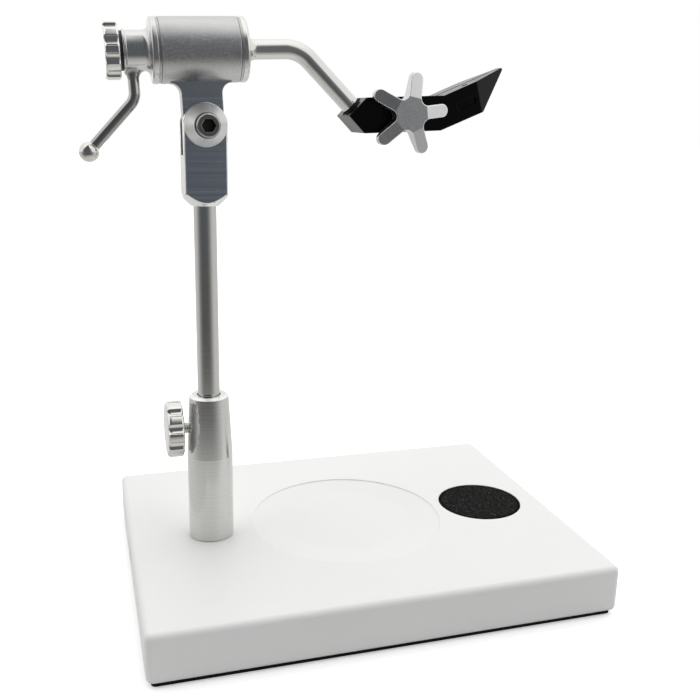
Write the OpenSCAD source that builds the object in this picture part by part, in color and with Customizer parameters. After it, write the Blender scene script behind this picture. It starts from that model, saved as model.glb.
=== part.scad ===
// Fly tying vise on a pedestal base: a heavy plate with a hook tray, a post with a sliding
// stem, and a tilting rotary head that carries a cranked arm and screw-closed hook jaws.
// Millimetres, +Z up. The origin is on the table, under the middle of the base plate.

/* [Base] */
// Length of the base plate, left to right
base_l = 202.4; // [190:0.2:240]
// Depth of the base plate, front to back
base_d = 156; // [120:1:200]
// Thickness of the base plate
base_t = 21.2; // [17:0.2:30]
// Radius of the plate's upright corners
corner_r = 3; // [3:0.25:15]
// Radius that rounds the plate's top and bottom edges
edge_r = 2.5; // [1:0.25:2.75]
// Thickness of the rubber sheet under the plate
pad_t = 1.8; // [1.2:0.1:5]
// Distance that the rubber sheet stands in from the plate's edges
pad_inset = 2; // [1:0.5:8]
// Diameter of the round hook tray in the plate's top
tray_dia = 89.6; // [60:0.2:94]
// Depth of the hook tray
tray_depth = 1.5; // [0.5:0.25:4]
// Diameter of the foam disc that holds hooks
foam_dia = 40.8; // [30:0.2:44]
// Thickness of the foam disc
foam_t = 4; // [2:0.5:8]
// Land between the hook tray and the foam disc
foam_land = 4.8; // [2:0.2:6]
// Land between the hook tray and the post
post_land = 10; // [4:0.5:14]
// Diameter of the tapped accessory hole in the left face
side_hole_dia = 6.5; // [4:0.5:10]
// Depth of the accessory hole
side_hole_depth = 16; // [8:1:20]
// Distance of the accessory hole behind the plate's middle line
side_hole_y = 6; // [-40:1:40]

/* [Post] */
// Diameter of the post sleeve at its foot
sleeve_dia = 20; // [19:0.5:24]
// Diameter of the post sleeve at its mouth
sleeve_top_dia = 17.2; // [15:0.2:18.5]
// Height of the post sleeve above the plate
sleeve_h = 67; // [64:0.5:90]
// Length of the sleeve's tapered upper part
taper_h = 28; // [15:0.5:34]
// Diameter of the sleeve's spigot, which sits in the plate
spigot_dia = 14; // [12:0.5:17]
// Length of the spigot
spigot_h = 6; // [3:0.5:7]
// Diameter of the bolt that holds the post from below
post_bolt_dia = 8; // [6:0.5:9]
// Length of the post bolt inside the sleeve
post_bolt_grip = 12; // [8:0.5:16]
// Diameter of the post bolt's head
post_head_dia = 13; // [11:0.5:16]
// Width across the flats of the post bolt's socket
post_key = 6; // [4:0.5:7]
// Outer diameter of the bush in the sleeve's mouth
stem_bush_dia = 12.4; // [11.5:0.1:13.5]
// Length of the bush in the sleeve's mouth
stem_bush_l = 10; // [6:0.5:12]
// Depth of the bush below the sleeve's mouth
stem_bush_set = 0.6; // [0.2:0.1:2]

/* [Lock screw] */
// Height of the lock screw above the plate
lock_h = 51.8; // [46:0.2:53]
// Diameter of the lock screw
lock_screw_dia = 5; // [4:0.25:6]
// Diameter of the lock knob
lock_knob_dia = 24.5; // [18:0.5:30]
// Thickness of the lock knob
lock_knob_t = 7; // [4:0.2:9]
// Bare length of lock screw between the sleeve and the knob
lock_show = 2.7; // [1:0.1:6]

/* [Knob grip] */
// Number of flutes round each round knob
flutes = 10; // [8:1:14]
// Radius of each flute
flute_r = 2.6; // [1.8:0.1:3.2]
// Depth of each flute
flute_depth = 1.2; // [0.6:0.1:1.6]
// Chamfer round each knob's edges
knob_chamfer = 0.9; // [0.4:0.1:1.5]

/* [Stem] */
// Diameter of the stem
stem_dia = 9.5; // [8:0.1:10.5]
// Bare length of stem between the sleeve and the stem head, as set in the photo
stem_show = 82.3; // [40:0.5:120]
// Length of stem inside the sleeve, as set in the photo
stem_in = 38; // [34:0.5:44]
// Length of stem seated in the stem head
stem_seat = 14; // [8:0.5:16]

/* [Stem head] */
// Width of the stem head, along the rotary axis
fork_w = 17.8; // [17.2:0.2:22]
// Depth of the stem head, front to back
fork_d = 15; // [13.5:0.5:20]
// Height of the tilt pivot above the stem head's foot
pivot_rise = 32.5; // [30:0.5:45]
// Diameter of the stem head's foot, where its turned cone starts
fork_foot_dia = 12; // [11.6:0.1:14]
// Diameter that the stem head's upright corners are turned to
fork_turn_dia = 22.4; // [21.6:0.2:23]
// Room below the tongue in the fork's slot
slot_room = 4; // [1:0.5:6]
// Diameter of the pivot bolt
pivot_bolt_dia = 6; // [4:0.5:6.5]
// Diameter of the pivot bolt's head
pivot_head_dia = 9.6; // [8:0.2:10.5]
// Height of the pivot bolt's head
pivot_head_h = 6; // [4:0.25:7]
// Width across the flats of the pivot bolt's socket
pivot_key = 5; // [3:0.5:5.5]
// Outer diameter of the coned pivot washer
cone_dia = 17.2; // [15:0.2:20]
// Front diameter of the coned pivot washer
cone_front_dia = 12; // [11.5:0.25:14]
// Thickness of the coned pivot washer
cone_t = 5.6; // [3:0.2:8]
// Depth of the seat for the bolt's head in the coned washer
cone_seat = 2.6; // [1:0.2:2.8]

/* [Rotary head] */
// Upward tilt of the jaws, as set in the photo
head_tilt = 2.8; // [-20:0.2:20]
// Height of the rotary axis above the tilt pivot
axis_h = 28.9; // [28:0.1:40]
// Diameter of the rotary housing
housing_dia = 25.4; // [22:0.2:26]
// Length of the rotary housing
housing_l = 31; // [28:0.5:45]
// Width of the housing's neck and tongue
tongue_w = 16.4; // [14:0.2:17]
// Thickness of the housing's neck and tongue
tongue_t = 8; // [6:0.25:9]
// Radius of the fillets between the neck and the housing
neck_fillet = 4; // [2:0.25:5]
// Outer diameter of the shaft bushes
shaft_bush_dia = 12; // [10.5:0.25:14]
// Length of each shaft bush
shaft_bush_l = 10; // [6:0.5:13]
// Thickness of the thrust washers at the housing's ends
thrust_t = 0.8; // [0.5:0.1:2]
// Diameter of the thrust washers
thrust_dia = 25; // [18:0.2:25.2]

/* [Arm] */
// Diameter of the arm and of the shaft that it forms
arm_dia = 7.9; // [6.5:0.1:8.5]
// Thickness of the arm's flange and of the hub's flange
flange_t = 2.6; // [2:0.1:5]
// Radius that rounds the flanges' outer edges
flange_round = 1.1; // [0.5:0.1:1.3]
// Radius of the fillet between the arm's flange and the arm
arm_fillet = 4.2; // [2:0.2:6]
// Straight length of arm between the flange and the bend
arm_straight = 16.4; // [8:0.2:40]
// Radius of the arm's bend
arm_bend_r = 14; // [9:0.5:20]
// Angle of the arm's bend
arm_angle = 47; // [42:0.5:52]
// Straight length of arm between the bend and the jaws
arm_slant = 26; // [16:0.5:50]
// Length of arm seated in the jaws' heel
arm_seat = 8.6; // [5:0.2:9]

/* [Crank handle] */
// Diameter of the hub behind the housing
hub_dia = 15.4; // [14:0.2:20]
// Length of the hub behind its flange
hub_l = 10.4; // [9:0.2:16]
// Radius of the fillet between the hub and its flange
hub_fillet = 2.6; // [1:0.2:3.4]
// Diameter of the handle rod
handle_dia = 4.5; // [3:0.25:5]
// Distance of the handle rod behind the hub's flange
handle_x = 7.1; // [6.2:0.1:7.4]
// Straight length of handle from the rotary axis to its bend
handle_drop = 15.3; // [12:0.1:25]
// Radius of the handle's bend
handle_bend_r = 7; // [4:0.5:12]
// Angle of the handle's bend
handle_angle = 45; // [20:1:60]
// Length of handle from its bend to the middle of the ball
handle_l = 24.8; // [15:0.2:45]
// Diameter of the handle's ball
ball_dia = 8; // [7.4:0.2:14]
// Depth of the rod's hole in the ball
ball_hole = 3.4; // [2:0.2:5]
// Radius of the brazed fillet where the handle rod leaves the hub
braze_r = 3; // [1:0.2:3.4]

/* [Drag knob] */
// Diameter of the drag knob
drag_dia = 22; // [16:0.5:26]
// Thickness of the drag knob
drag_t = 5.8; // [4:0.2:9]
// Thickness of the drag washer
drag_washer_t = 1.2; // [0.8:0.1:3]
// Diameter of the drag washer
drag_washer_dia = 15; // [12:0.2:18]
// Diameter of the drag stud
stud_dia = 4.5; // [3:0.25:5]
// Length of the drag stud inside the shaft
stud_in = 11; // [6:0.5:16]

/* [Jaws] */
// Thickness across both jaws
jaw_t = 19; // [15:0.2:22]
// Height of the jaws' straight part
jaw_h = 14.5; // [13.6:0.1:20]
// Length of the heel block that joins the arm to the jaws
heel_l = 14; // [13:0.5:16]
// Depth of the heel's lower slope
heel_slope = 6.5; // [4:0.25:8]
// Distance from the heel to the start of the rising top edge
jaw_flat = 42.6; // [42:0.1:60]
// Distance from the heel to the start of the rising lower edge
jaw_under = 41; // [38:0.5:42]
// Distance from the heel to the lower end of the nose
nose_x = 61.1; // [58:0.1:66]
// Distance from the heel to the tip
tip_x = 74.4; // [71:0.2:90]
// Rise of the tip above the jaws' top edge
tip_rise = 11.8; // [6:0.2:14]
// Blunt width of the tip
tip_flat = 1.8; // [0.4:0.1:2.4]
// Gap between the jaws behind the nose
jaw_gap = 1.2; // [0.6:0.1:2]
// Gap between the jaws at the nose, as set in the photo
nose_gap = 0.2; // [0.1:0.05:0.5]
// Length of the gripping part of the nose
nose_l = 7; // [3:0.5:10]
// Thickness of both jaws together at the tip
tip_t = 2.6; // [1.6:0.2:5]
// Distance from the heel to the bevel of the nose
bevel_x = 59; // [54:0.2:62]
// Lean of the bevel's edge
bevel_lean = 12; // [0:1:20]
// Diameter of the small hole in the front jaw's top
top_hole_dia = 2.6; // [1.6:0.1:3]
// Depth of the small hole in the front jaw's top
top_hole_depth = 4; // [2:0.5:5]
// Distance from the heel to the small hole
top_hole_x = 53.6; // [48:0.2:56]
// Distance from the middle of the jaws to the small hole
top_hole_y = 5.4; // [4:0.2:6]
// Distance from the heel to the middle of the groove in the front jaw's side
groove_x = 53; // [50:0.1:53.4]
// Rise of the groove's middle above the draw screw
groove_rise = 3.7; // [3:0.1:4.4]
// Length of the groove's straight part
groove_l = 6.3; // [4:0.1:7]
// Width of the groove
groove_w = 3; // [1.6:0.1:3.4]
// Depth of the groove
groove_depth = 0.8; // [0.3:0.1:1.5]
// Distance from the heel block to the draw screw
screw_gap = 11; // [10.4:0.2:12.4]
// Diameter of the draw screw
screw_dia = 6; // [5:0.25:7]
// Diameter of the collar that keeps the draw screw in the front jaw
collar_dia = 10; // [9:0.25:11]
// Thickness of the collar
collar_t = 1.6; // [1:0.1:2.5]
// Diameter of the guide dowels
dowel_dia = 3.5; // [2.5:0.25:4]
// Distance from the draw screw to the guide dowel on the nose side
dowel_gap = 11; // [10:0.25:12]

/* [Star knob] */
// Diameter over the star knob's fingers
star_dia = 35; // [30:0.2:44]
// Width of each finger
finger_w = 5.4; // [4:0.1:6]
// Number of fingers
fingers = 5; // [5:1:6]
// Radius of the fillets between the fingers
finger_fillet = 3; // [1.5:0.1:6]
// Turn of the star knob, as set in the photo
star_turn = 4.3; // [0:0.1:71]
// Thickness of the star knob at its hub
star_t = 6.6; // [5:0.2:10]
// Diameter of the flat in the middle of the star knob
star_flat_dia = 12.8; // [11:0.2:18]
// Set-back of the finger tips from the front
tip_set_front = 3.4; // [1:0.1:4]
// Set-back of the finger tips from the back
tip_set_back = 0.3; // [0.2:0.1:2]
// Thickness of the washer under the star knob
star_washer_t = 0.8; // [0.5:0.1:2]
// Diameter of the washer under the star knob
star_washer_dia = 11; // [9:0.2:16]

/* [Small screws] */
// Diameter of the grub screws
grub_dia = 4; // [2.5:0.25:4.5]
// Width across the flats of the grub screws' sockets
grub_key = 2; // [1.2:0.1:2]
// Depth of the grub screws' sockets
grub_key_depth = 1.5; // [0.8:0.1:1.8]

/* [Hidden] */
// Radial clearance of pieces that turn or slide in one another
run_gap = 0.05;
// Radial clearance of pieces that are fixed in one another
fix_gap = 0.02;
// Space between faces that only pass one another
pass_gap = 0.3;
// Overrun that carries a cut past the face it opens
over = 1;
// Thinning of a rod where it is bent
bend_thin = 0.03;
// Angle that a bend runs on inside the straight rod at each end
bend_lap = 1;
// Chamfer on small turned edges
turned_edge = 0.6;
// Extra radius with which a fillet's circle crosses the side it would only touch
cross_cut = 0.02;
// Wall left beyond the end of a blind hole
blind_wall = 1;
// Depth that the brazed fillet's foot is let into the round of the hub
braze_sink = 0.5;
$fn = 72;

plate_z = pad_t;
base_top = plate_z + base_t;
foam_x = tray_dia / 2 + foam_land + foam_dia / 2;
post_x = -(tray_dia / 2 + post_land + sleeve_dia / 2);

sleeve_top = base_top + sleeve_h;
post_head_h = post_bolt_dia;
post_head_z = plate_z + pass_gap;
bore_floor = base_top + post_bolt_grip + over;
bush_top = sleeve_top - stem_bush_set;
stem_foot = sleeve_top - stem_in;
fork_foot = sleeve_top + stem_show;
stem_top = fork_foot + stem_seat;
pivot_z = fork_foot + pivot_rise;

lock_z = base_top + lock_h;
taper_at_lock = max(0, lock_h - (sleeve_h - taper_h)) / taper_h;
sleeve_r_at_lock = (sleeve_dia - (sleeve_dia - sleeve_top_dia) * taper_at_lock) / 2;
lock_tip = stem_dia / 2 + pass_gap;
lock_face = sleeve_r_at_lock + lock_show;

tongue_r = tongue_w / 2;
slot_w = tongue_t + 2 * run_gap;
slot_floor = tongue_r + slot_room;
ear_face = fork_d / 2;
pivot_seat = ear_face + cone_t - cone_seat;

housing_r = housing_dia / 2;
housing_end = housing_l / 2;
flange_in = housing_end + thrust_t + 2 * run_gap;
flange_out = flange_in + flange_t;
arm_r = arm_dia / 2;
shaft_end = flange_out + hub_l - pass_gap;
hub_end = flange_out + hub_l;
knob_in = hub_end + drag_washer_t + run_gap;

bend_x = flange_out + arm_straight;
arm_dir = [cos(arm_angle), -sin(arm_angle)];
face_dir = [sin(arm_angle), cos(arm_angle)];
bend_end = [bend_x + arm_bend_r * sin(arm_angle), axis_h - arm_bend_r * (1 - cos(arm_angle))];
heel_mid = bend_end + arm_slant * arm_dir;
heel_face = jaw_h / (2 * cos(arm_angle));
heel = heel_mid - heel_face / 2 * face_dir;
heel_top = heel_mid + heel_face / 2 * face_dir;
jaw_top = heel_top[1];
jaw_mid = heel[1];
jaw_low = jaw_mid - jaw_h / 2;
jaw_front = jaw_t / 2;

tip = [heel[0] + tip_x, jaw_top + tip_rise];
rise_start = [heel[0] + jaw_flat, jaw_top];
nose_foot = [heel[0] + nose_x, jaw_mid];
under_start = [heel[0] + jaw_under, jaw_low];
heel_low = [heel[0] + heel_slope, jaw_low];
seam_x = heel[0] + heel_l;
rise_angle = atan2(tip[1] - rise_start[1], tip[0] - rise_start[0]);
tip_on_top = tip + tip_flat * (rise_start - tip) / norm(rise_start - tip);
tip_on_nose = tip + tip_flat * (nose_foot - tip) / norm(nose_foot - tip);
nose_pad_x = tip[0] - nose_l;
bevel_at = [heel[0] + bevel_x, (jaw_low + tip[1]) / 2];
bevel_run = (tip - bevel_at) * [cos(bevel_lean), sin(bevel_lean)];
bevel_angle = atan2((jaw_t - tip_t) / 2, bevel_run);

screw_at = [seam_x + screw_gap, jaw_mid];
heel_dowel_x = (seam_x + pass_gap + screw_at[0] - collar_dia / 2) / 2;
dowel_at = [heel_dowel_x, screw_at[0] + dowel_gap];
dowel_front = jaw_front - blind_wall;
dowel_back = dowel_front - pass_gap;
collar_in = jaw_gap / 2 + collar_t + 2 * run_gap;
star_back = jaw_front + star_washer_t + run_gap;
star_bore = star_t / 2;

grub_hub_l = (hub_dia - arm_dia) / 2 - pass_gap - run_gap;
grub_heel_l = jaw_front - arm_r - run_gap - pass_gap;
grub_heel_at = heel_mid + arm_seat / 2 * arm_dir;

// Frames that place the tilting pieces

// The tilting head: X along the rotary axis, Z away from the tilt pivot, origin at the pivot.
module head_frame() {
    translate([post_x, 0, pivot_z])
        rotate([0, -head_tilt, 0])
            children();
}

// Turned pieces on the rotary axis: their Z runs towards the jaws, 0 is over the stem.
module axis_frame() {
    head_frame()
        translate([0, 0, axis_h])
            rotate([0, 90, 0])
                children();
}

// A flat outline in X and Z, given thickness from y0 to y1.
module plate_xz(y0, y1) {
    translate([0, y1, 0])
        rotate([90, 0, 0])
            linear_extrude(y1 - y0)
                children();
}

// A pin or hole along Y at a place in X and Z, from y0 to y1.
module rod_y(at, y0, y1, r) {
    translate([at[0], y1, at[1]])
        rotate([90, 0, 0])
            cylinder(h = y1 - y0, r = r);
}

// Shapes that repeat

// Half section of a turned ring whose outer edges are rounded.
module ring_section(r_in, r_out, z0, z1, edge) {
    translate([r_in, z0])
        square([r_out - r_in - edge, z1 - z0]);
    translate([r_in, z0 + edge])
        square([r_out - r_in, z1 - z0 - 2 * edge]);
    translate([r_out - edge, z0 + edge])
        circle(edge);
    translate([r_out - edge, z1 - edge])
        circle(edge);
}

// Half section of a hollow fillet that rises from a face at z0 and runs up a cylinder.
module fillet_section(r, z0, fillet) {
    difference() {
        translate([r - over / 2, z0 - over / 2])
            square([fillet + over / 2, fillet + over / 2]);
        translate([r + fillet, z0 + fillet])
            circle(fillet);
    }
}

// A round grip knob with flutes, standing on z = 0, bored from below for its screw.
module fluted_knob(dia, t, bore_r, bore_depth) {
    flute_at = dia / 2 - flute_depth + flute_r;
    difference() {
        rotate_extrude()
            polygon([
                [0, 0],
                [dia / 2 - knob_chamfer, 0],
                [dia / 2, knob_chamfer],
                [dia / 2, t - knob_chamfer],
                [dia / 2 - knob_chamfer, t],
                [0, t],
            ]);
        for (k = [0 : flutes - 1])
            rotate(k * 360 / flutes)
                translate([flute_at, 0, -over])
                    cylinder(h = t + 2 * over, r = flute_r);
        translate([0, 0, -over])
            cylinder(h = bore_depth + over, r = bore_r);
    }
}

// A round rod that runs along Z from 0 to l.
module bare_rod(l, r) {
    cylinder(h = l, r = r);
}

// A bend of a round rod about Z, from the X axis through an angle, lapped into its ends.
module rod_bend(bend_r, angle, r) {
    rotate(-bend_lap)
        rotate_extrude(angle = angle + 2 * bend_lap)
            translate([bend_r, 0])
                circle(r - bend_thin);
}

// A headless screw with a hexagon socket, its top at z = 0, pointing down.
module grub_screw(l) {
    difference() {
        translate([0, 0, -l])
            cylinder(h = l, r = grub_dia / 2);
        translate([0, 0, -grub_key_depth])
            cylinder(h = grub_key_depth + over, d = grub_key / cos(30), $fn = 6);
    }
}

// One upright rounded corner of a plate.
module plate_corner(r, t, edge) {
    rotate_extrude($fn = 32)
        intersection() {
            square([r, t]);
            union() {
                square([r - edge, t]);
                translate([0, edge])
                    square([r, t - 2 * edge]);
                for (z = [edge, t - edge])
                    translate([r - edge, z])
                        circle(edge, $fn = 24);
            }
        }
}

// A rectangular plate with round corners, standing on z = 0.
module round_plate(l, d, t, r, edge) {
    hull()
        for (x = [-1, 1], y = [-1, 1])
            translate([x * (l / 2 - r), y * (d / 2 - r), 0])
                plate_corner(r, t, edge);
}

// Base: the plate, its rubber sheet, the foam disc and the post

module base_plate() {
    color("white")
        difference() {
            translate([0, 0, plate_z])
                round_plate(base_l, base_d, base_t, corner_r, edge_r);
            translate([0, 0, base_top - tray_depth])
                cylinder(h = tray_depth + over, d = tray_dia);
            translate([foam_x, 0, base_top - foam_t])
                cylinder(h = foam_t + over, d = foam_dia + 2 * run_gap);
            translate([post_x, 0, base_top - spigot_h])
                cylinder(h = spigot_h + over, d = spigot_dia + 2 * fix_gap);
            translate([post_x, 0, plate_z - over])
                cylinder(h = base_t + over, d = post_bolt_dia + 2 * pass_gap);
            translate([post_x, 0, plate_z - over])
                cylinder(h = post_head_z + post_head_h - plate_z + over, d = post_head_dia + 2 * pass_gap);
            translate([-base_l / 2 - over, side_hole_y, plate_z + base_t / 2])
                rotate([0, 90, 0])
                    cylinder(h = side_hole_depth + over, d = side_hole_dia);
        }
}

module base_pad() {
    pad_corner = max(corner_r - pad_inset, pad_inset);
    color("black")
        linear_extrude(pad_t) {
            square([base_l - 2 * pad_inset, base_d - 2 * (pad_inset + pad_corner)], center = true);
            square([base_l - 2 * (pad_inset + pad_corner), base_d - 2 * pad_inset], center = true);
            for (x = [-1, 1], y = [-1, 1])
                translate([x * (base_l / 2 - pad_inset - pad_corner), y * (base_d / 2 - pad_inset - pad_corner)])
                    circle(pad_corner);
        }
}

module foam_disc() {
    color("dimgray")
        translate([foam_x, 0, base_top - foam_t])
            cylinder(h = foam_t, d = foam_dia);
}

module post_sleeve() {
    color("silver")
        translate([post_x, 0, 0])
            difference() {
                rotate_extrude()
                    polygon([
                        [0, base_top - spigot_h],
                        [spigot_dia / 2, base_top - spigot_h],
                        [spigot_dia / 2, base_top],
                        [sleeve_dia / 2, base_top],
                        [sleeve_dia / 2, sleeve_top - taper_h],
                        [sleeve_top_dia / 2, sleeve_top - turned_edge],
                        [sleeve_top_dia / 2 - turned_edge, sleeve_top],
                        [0, sleeve_top],
                    ]);
                translate([0, 0, bore_floor])
                    cylinder(h = sleeve_h + over, d = stem_dia + 2 * run_gap);
                translate([0, 0, bush_top - stem_bush_l - run_gap])
                    cylinder(h = stem_bush_l + stem_bush_set + over, d = stem_bush_dia + 2 * run_gap);
                translate([0, 0, base_top - spigot_h - over])
                    cylinder(h = bore_floor - base_top + spigot_h, d = post_bolt_dia + 2 * fix_gap);
                translate([0, 0, lock_z])
                    rotate([0, -90, 0])
                        cylinder(h = sleeve_dia, d = lock_screw_dia + 2 * run_gap);
            }
}

module post_bolt() {
    color("dimgray")
        translate([post_x, 0, post_head_z])
            difference() {
                union() {
                    cylinder(h = post_head_h, d = post_head_dia);
                    cylinder(h = base_top + post_bolt_grip - post_head_z, d = post_bolt_dia);
                }
                translate([0, 0, -over])
                    cylinder(h = post_head_h / 2 + over, d = post_key / cos(30), $fn = 6);
            }
}

// Lock screw: clamps the stem at its height

module lock_knob() {
    color("gainsboro")
        translate([post_x - lock_face, 0, lock_z])
            rotate([0, -90, 0])
                fluted_knob(lock_knob_dia, lock_knob_t, lock_screw_dia / 2 + fix_gap, lock_knob_t / 2);
}

module lock_screw() {
    color("silver")
        translate([post_x - lock_tip, 0, lock_z])
            rotate([0, -90, 0])
                bare_rod(lock_face + lock_knob_t / 2 - lock_tip, lock_screw_dia / 2);
}

// Stem: slides and turns in the post

module stem_bush() {
    color("burlywood")
        translate([post_x, 0, bush_top - stem_bush_l])
            difference() {
                cylinder(h = stem_bush_l, d = stem_bush_dia);
                translate([0, 0, -over])
                    cylinder(h = stem_bush_l + 2 * over, d = stem_dia + 2 * run_gap);
            }
}

module stem_rod() {
    color("silver")
        translate([post_x, 0, 0])
            rotate_extrude()
                polygon([
                    [0, stem_foot],
                    [stem_dia / 2 - turned_edge, stem_foot],
                    [stem_dia / 2, stem_foot + turned_edge],
                    [stem_dia / 2, stem_top],
                    [0, stem_top],
                ]);
}

// The fork: a square bar with a turned foot, full-round ears and a slot for the tongue.
module stem_head() {
    turn_r = fork_turn_dia / 2;
    foot_r = fork_foot_dia / 2;
    fork_top = pivot_rise + fork_w / 2;
    color("silver")
        translate([post_x, 0, fork_foot])
            difference() {
                intersection() {
                    plate_xz(-ear_face, ear_face) {
                        translate([-fork_w / 2, 0])
                            square([fork_w, pivot_rise]);
                        translate([0, pivot_rise])
                            circle(fork_w / 2);
                    }
                    rotate_extrude()
                        polygon([
                            [0, 0],
                            [foot_r, 0],
                            [turn_r, turn_r - foot_r],
                            [turn_r, fork_top + over],
                            [0, fork_top + over],
                        ]);
                }
                translate([0, 0, -over])
                    cylinder(h = stem_seat + over, d = stem_dia + 2 * fix_gap);
                translate([-fork_w, -slot_w / 2, pivot_rise - slot_floor])
                    cube([2 * fork_w, slot_w, 2 * fork_w + slot_floor]);
                rod_y([0, pivot_rise], -fork_d, fork_d, pivot_bolt_dia / 2 + run_gap);
            }
}

module pivot_washer() {
    color("silver")
        translate([post_x, -ear_face, pivot_z])
            rotate([90, 0, 0])
                difference() {
                    cylinder(h = cone_t, d1 = cone_dia, d2 = cone_front_dia);
                    translate([0, 0, -over])
                        cylinder(h = cone_t + 2 * over, d = pivot_bolt_dia + 2 * run_gap);
                    translate([0, 0, cone_t - cone_seat])
                        cylinder(h = cone_seat + over, d = pivot_head_dia + 2 * run_gap);
                }
}

module pivot_bolt() {
    color("dimgray")
        translate([post_x, -pivot_seat, pivot_z])
            rotate([90, 0, 0])
                difference() {
                    rotate_extrude()
                        polygon([
                            [0, -pivot_seat - ear_face],
                            [pivot_bolt_dia / 2, -pivot_seat - ear_face],
                            [pivot_bolt_dia / 2, 0],
                            [pivot_head_dia / 2, 0],
                            [pivot_head_dia / 2, pivot_head_h - turned_edge],
                            [pivot_head_dia / 2 - turned_edge, pivot_head_h],
                            [0, pivot_head_h],
                        ]);
                    translate([0, 0, pivot_head_h / 2])
                        cylinder(h = pivot_head_h, d = pivot_key / cos(30), $fn = 6);
                }
}

// Rotary head: the housing with its tongue, and the bushes that carry the shaft

module head_housing() {
    neck_top = axis_h - housing_r;
    neck_end = axis_h - (housing_r + shaft_bush_dia / 2) / 2;
    color("lightgray")
        difference() {
            union() {
                axis_frame()
                    translate([0, 0, -housing_end])
                        cylinder(h = housing_l, r = housing_r);
                head_frame()
                    plate_xz(-tongue_t / 2, tongue_t / 2)
                        neck_outline(neck_top, neck_end);
            }
            axis_frame()
                translate([0, 0, -housing_l])
                    cylinder(h = 2 * housing_l, d = shaft_bush_dia + 2 * fix_gap);
            head_frame()
                rod_y([0, 0], -tongue_t, tongue_t, pivot_bolt_dia / 2 + run_gap);
        }
}

// The tongue's round end, the neck and the fillets where it meets the housing.
module neck_outline(neck_top, neck_end) {
    circle(tongue_r);
    translate([-tongue_r, 0])
        square([tongue_w, neck_end]);
    difference() {
        translate([-tongue_r - neck_fillet, neck_top - neck_fillet])
            square([tongue_w + 2 * neck_fillet, neck_end - neck_top + neck_fillet]);
        for (side = [-1, 1])
            translate([side * (tongue_r + neck_fillet), neck_top - neck_fillet])
                circle(neck_fillet);
    }
}

module shaft_bush() {
    difference() {
        cylinder(h = shaft_bush_l, d = shaft_bush_dia);
        translate([0, 0, -over])
            cylinder(h = shaft_bush_l + 2 * over, r = arm_r + run_gap);
    }
}

module front_bush() {
    color("peru")
        axis_frame()
            translate([0, 0, housing_end - shaft_bush_l])
                shaft_bush();
}

module rear_bush() {
    color("peru")
        axis_frame()
            translate([0, 0, -housing_end])
                shaft_bush();
}

// Rotor: the shaft that runs on as the cranked arm, the hub with its crank handle

module arm_shaft() {
    color("silver")
        difference() {
            union() {
                axis_frame() {
                    translate([0, 0, -shaft_end])
                        bare_rod(shaft_end + bend_x, arm_r);
                    rotate_extrude() {
                        ring_section(0, housing_r, flange_in, flange_out, flange_round);
                        fillet_section(arm_r, flange_out, arm_fillet);
                    }
                }
                head_frame() {
                    translate([bend_x, 0, axis_h - arm_bend_r])
                        rotate([90, 0, 0])
                            rotate(90 - arm_angle)
                                rod_bend(arm_bend_r, arm_angle, arm_r);
                    translate([bend_end[0], 0, bend_end[1]])
                        rotate([0, 90 + arm_angle, 0])
                            bare_rod(arm_slant + arm_seat, arm_r);
                }
            }
            axis_frame()
                translate([0, 0, -shaft_end - over])
                    cylinder(h = stud_in + 2 * over, d = stud_dia + 2 * run_gap);
        }
}

module thrust_washer() {
    difference() {
        cylinder(h = thrust_t, d = thrust_dia);
        translate([0, 0, -over])
            cylinder(h = thrust_t + 2 * over, r = arm_r + run_gap);
    }
}

module front_thrust_washer() {
    color("black")
        axis_frame()
            translate([0, 0, flange_in - thrust_t])
                thrust_washer();
}

module rear_thrust_washer() {
    color("black")
        axis_frame()
            translate([0, 0, -flange_in])
                thrust_washer();
}

// The hub, its flange and the brazed fillet round the handle rod, with Z towards the rear.
module rear_hub() {
    braze_foot = hub_dia / 2 - braze_sink;
    color("silver")
        axis_frame()
            mirror([0, 0, 1])
                difference() {
                    union() {
                        rotate_extrude() {
                            ring_section(0, housing_r, flange_in, flange_out, flange_round);
                            fillet_section(hub_dia / 2, flange_out, hub_fillet);
                            translate([0, flange_in])
                                square([hub_dia / 2, hub_end - flange_in]);
                        }
                        intersection() {
                            translate([0, 0, flange_out + handle_x])
                                rotate([0, 90, 0])
                                    rotate_extrude() {
                                        square([handle_dia / 2 + braze_r, braze_foot]);
                                        fillet_section(handle_dia / 2, braze_foot, braze_r);
                                    }
                            translate([0, 0, flange_out])
                                cylinder(h = hub_l, r = hub_dia);
                        }
                    }
                    translate([0, 0, flange_in - over])
                        cylinder(h = hub_end, r = arm_r + fix_gap);
                    translate([0, 0, flange_out + handle_x])
                        rotate([0, 90, 0])
                            cylinder(h = hub_dia, d = handle_dia + 2 * fix_gap);
                    translate([0, 0, flange_out + handle_x])
                        rotate([-90, 0, 0])
                            cylinder(h = hub_dia, d = grub_dia + 2 * fix_gap);
                }
}

module hub_grub_screw() {
    color("dimgray")
        axis_frame()
            translate([0, arm_r + run_gap + grub_hub_l, -flange_out - handle_x])
                rotate([-90, 0, 0])
                    grub_screw(grub_hub_l);
}

module handle_rod() {
    rod_r = handle_dia / 2;
    start = arm_r + run_gap;
    color("silver")
        head_frame()
            translate([-flange_out - handle_x, 0, axis_h]) {
                translate([0, 0, -handle_drop])
                    bare_rod(handle_drop - start, rod_r);
                translate([-handle_bend_r, 0, -handle_drop])
                    rotate([90, 0, 0])
                        rotate(-handle_angle)
                            rod_bend(handle_bend_r, handle_angle, rod_r);
                handle_end()
                    bare_rod(handle_l - ball_dia / 2 + ball_hole, rod_r);
            }
}

// The end of the handle's bend: Z runs on along the rod towards the ball.
module handle_end() {
    translate([
        -handle_bend_r * (1 - cos(handle_angle)),
        0,
        -handle_drop - handle_bend_r * sin(handle_angle),
    ])
        rotate([0, 180 + handle_angle, 0])
            children();
}

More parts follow.
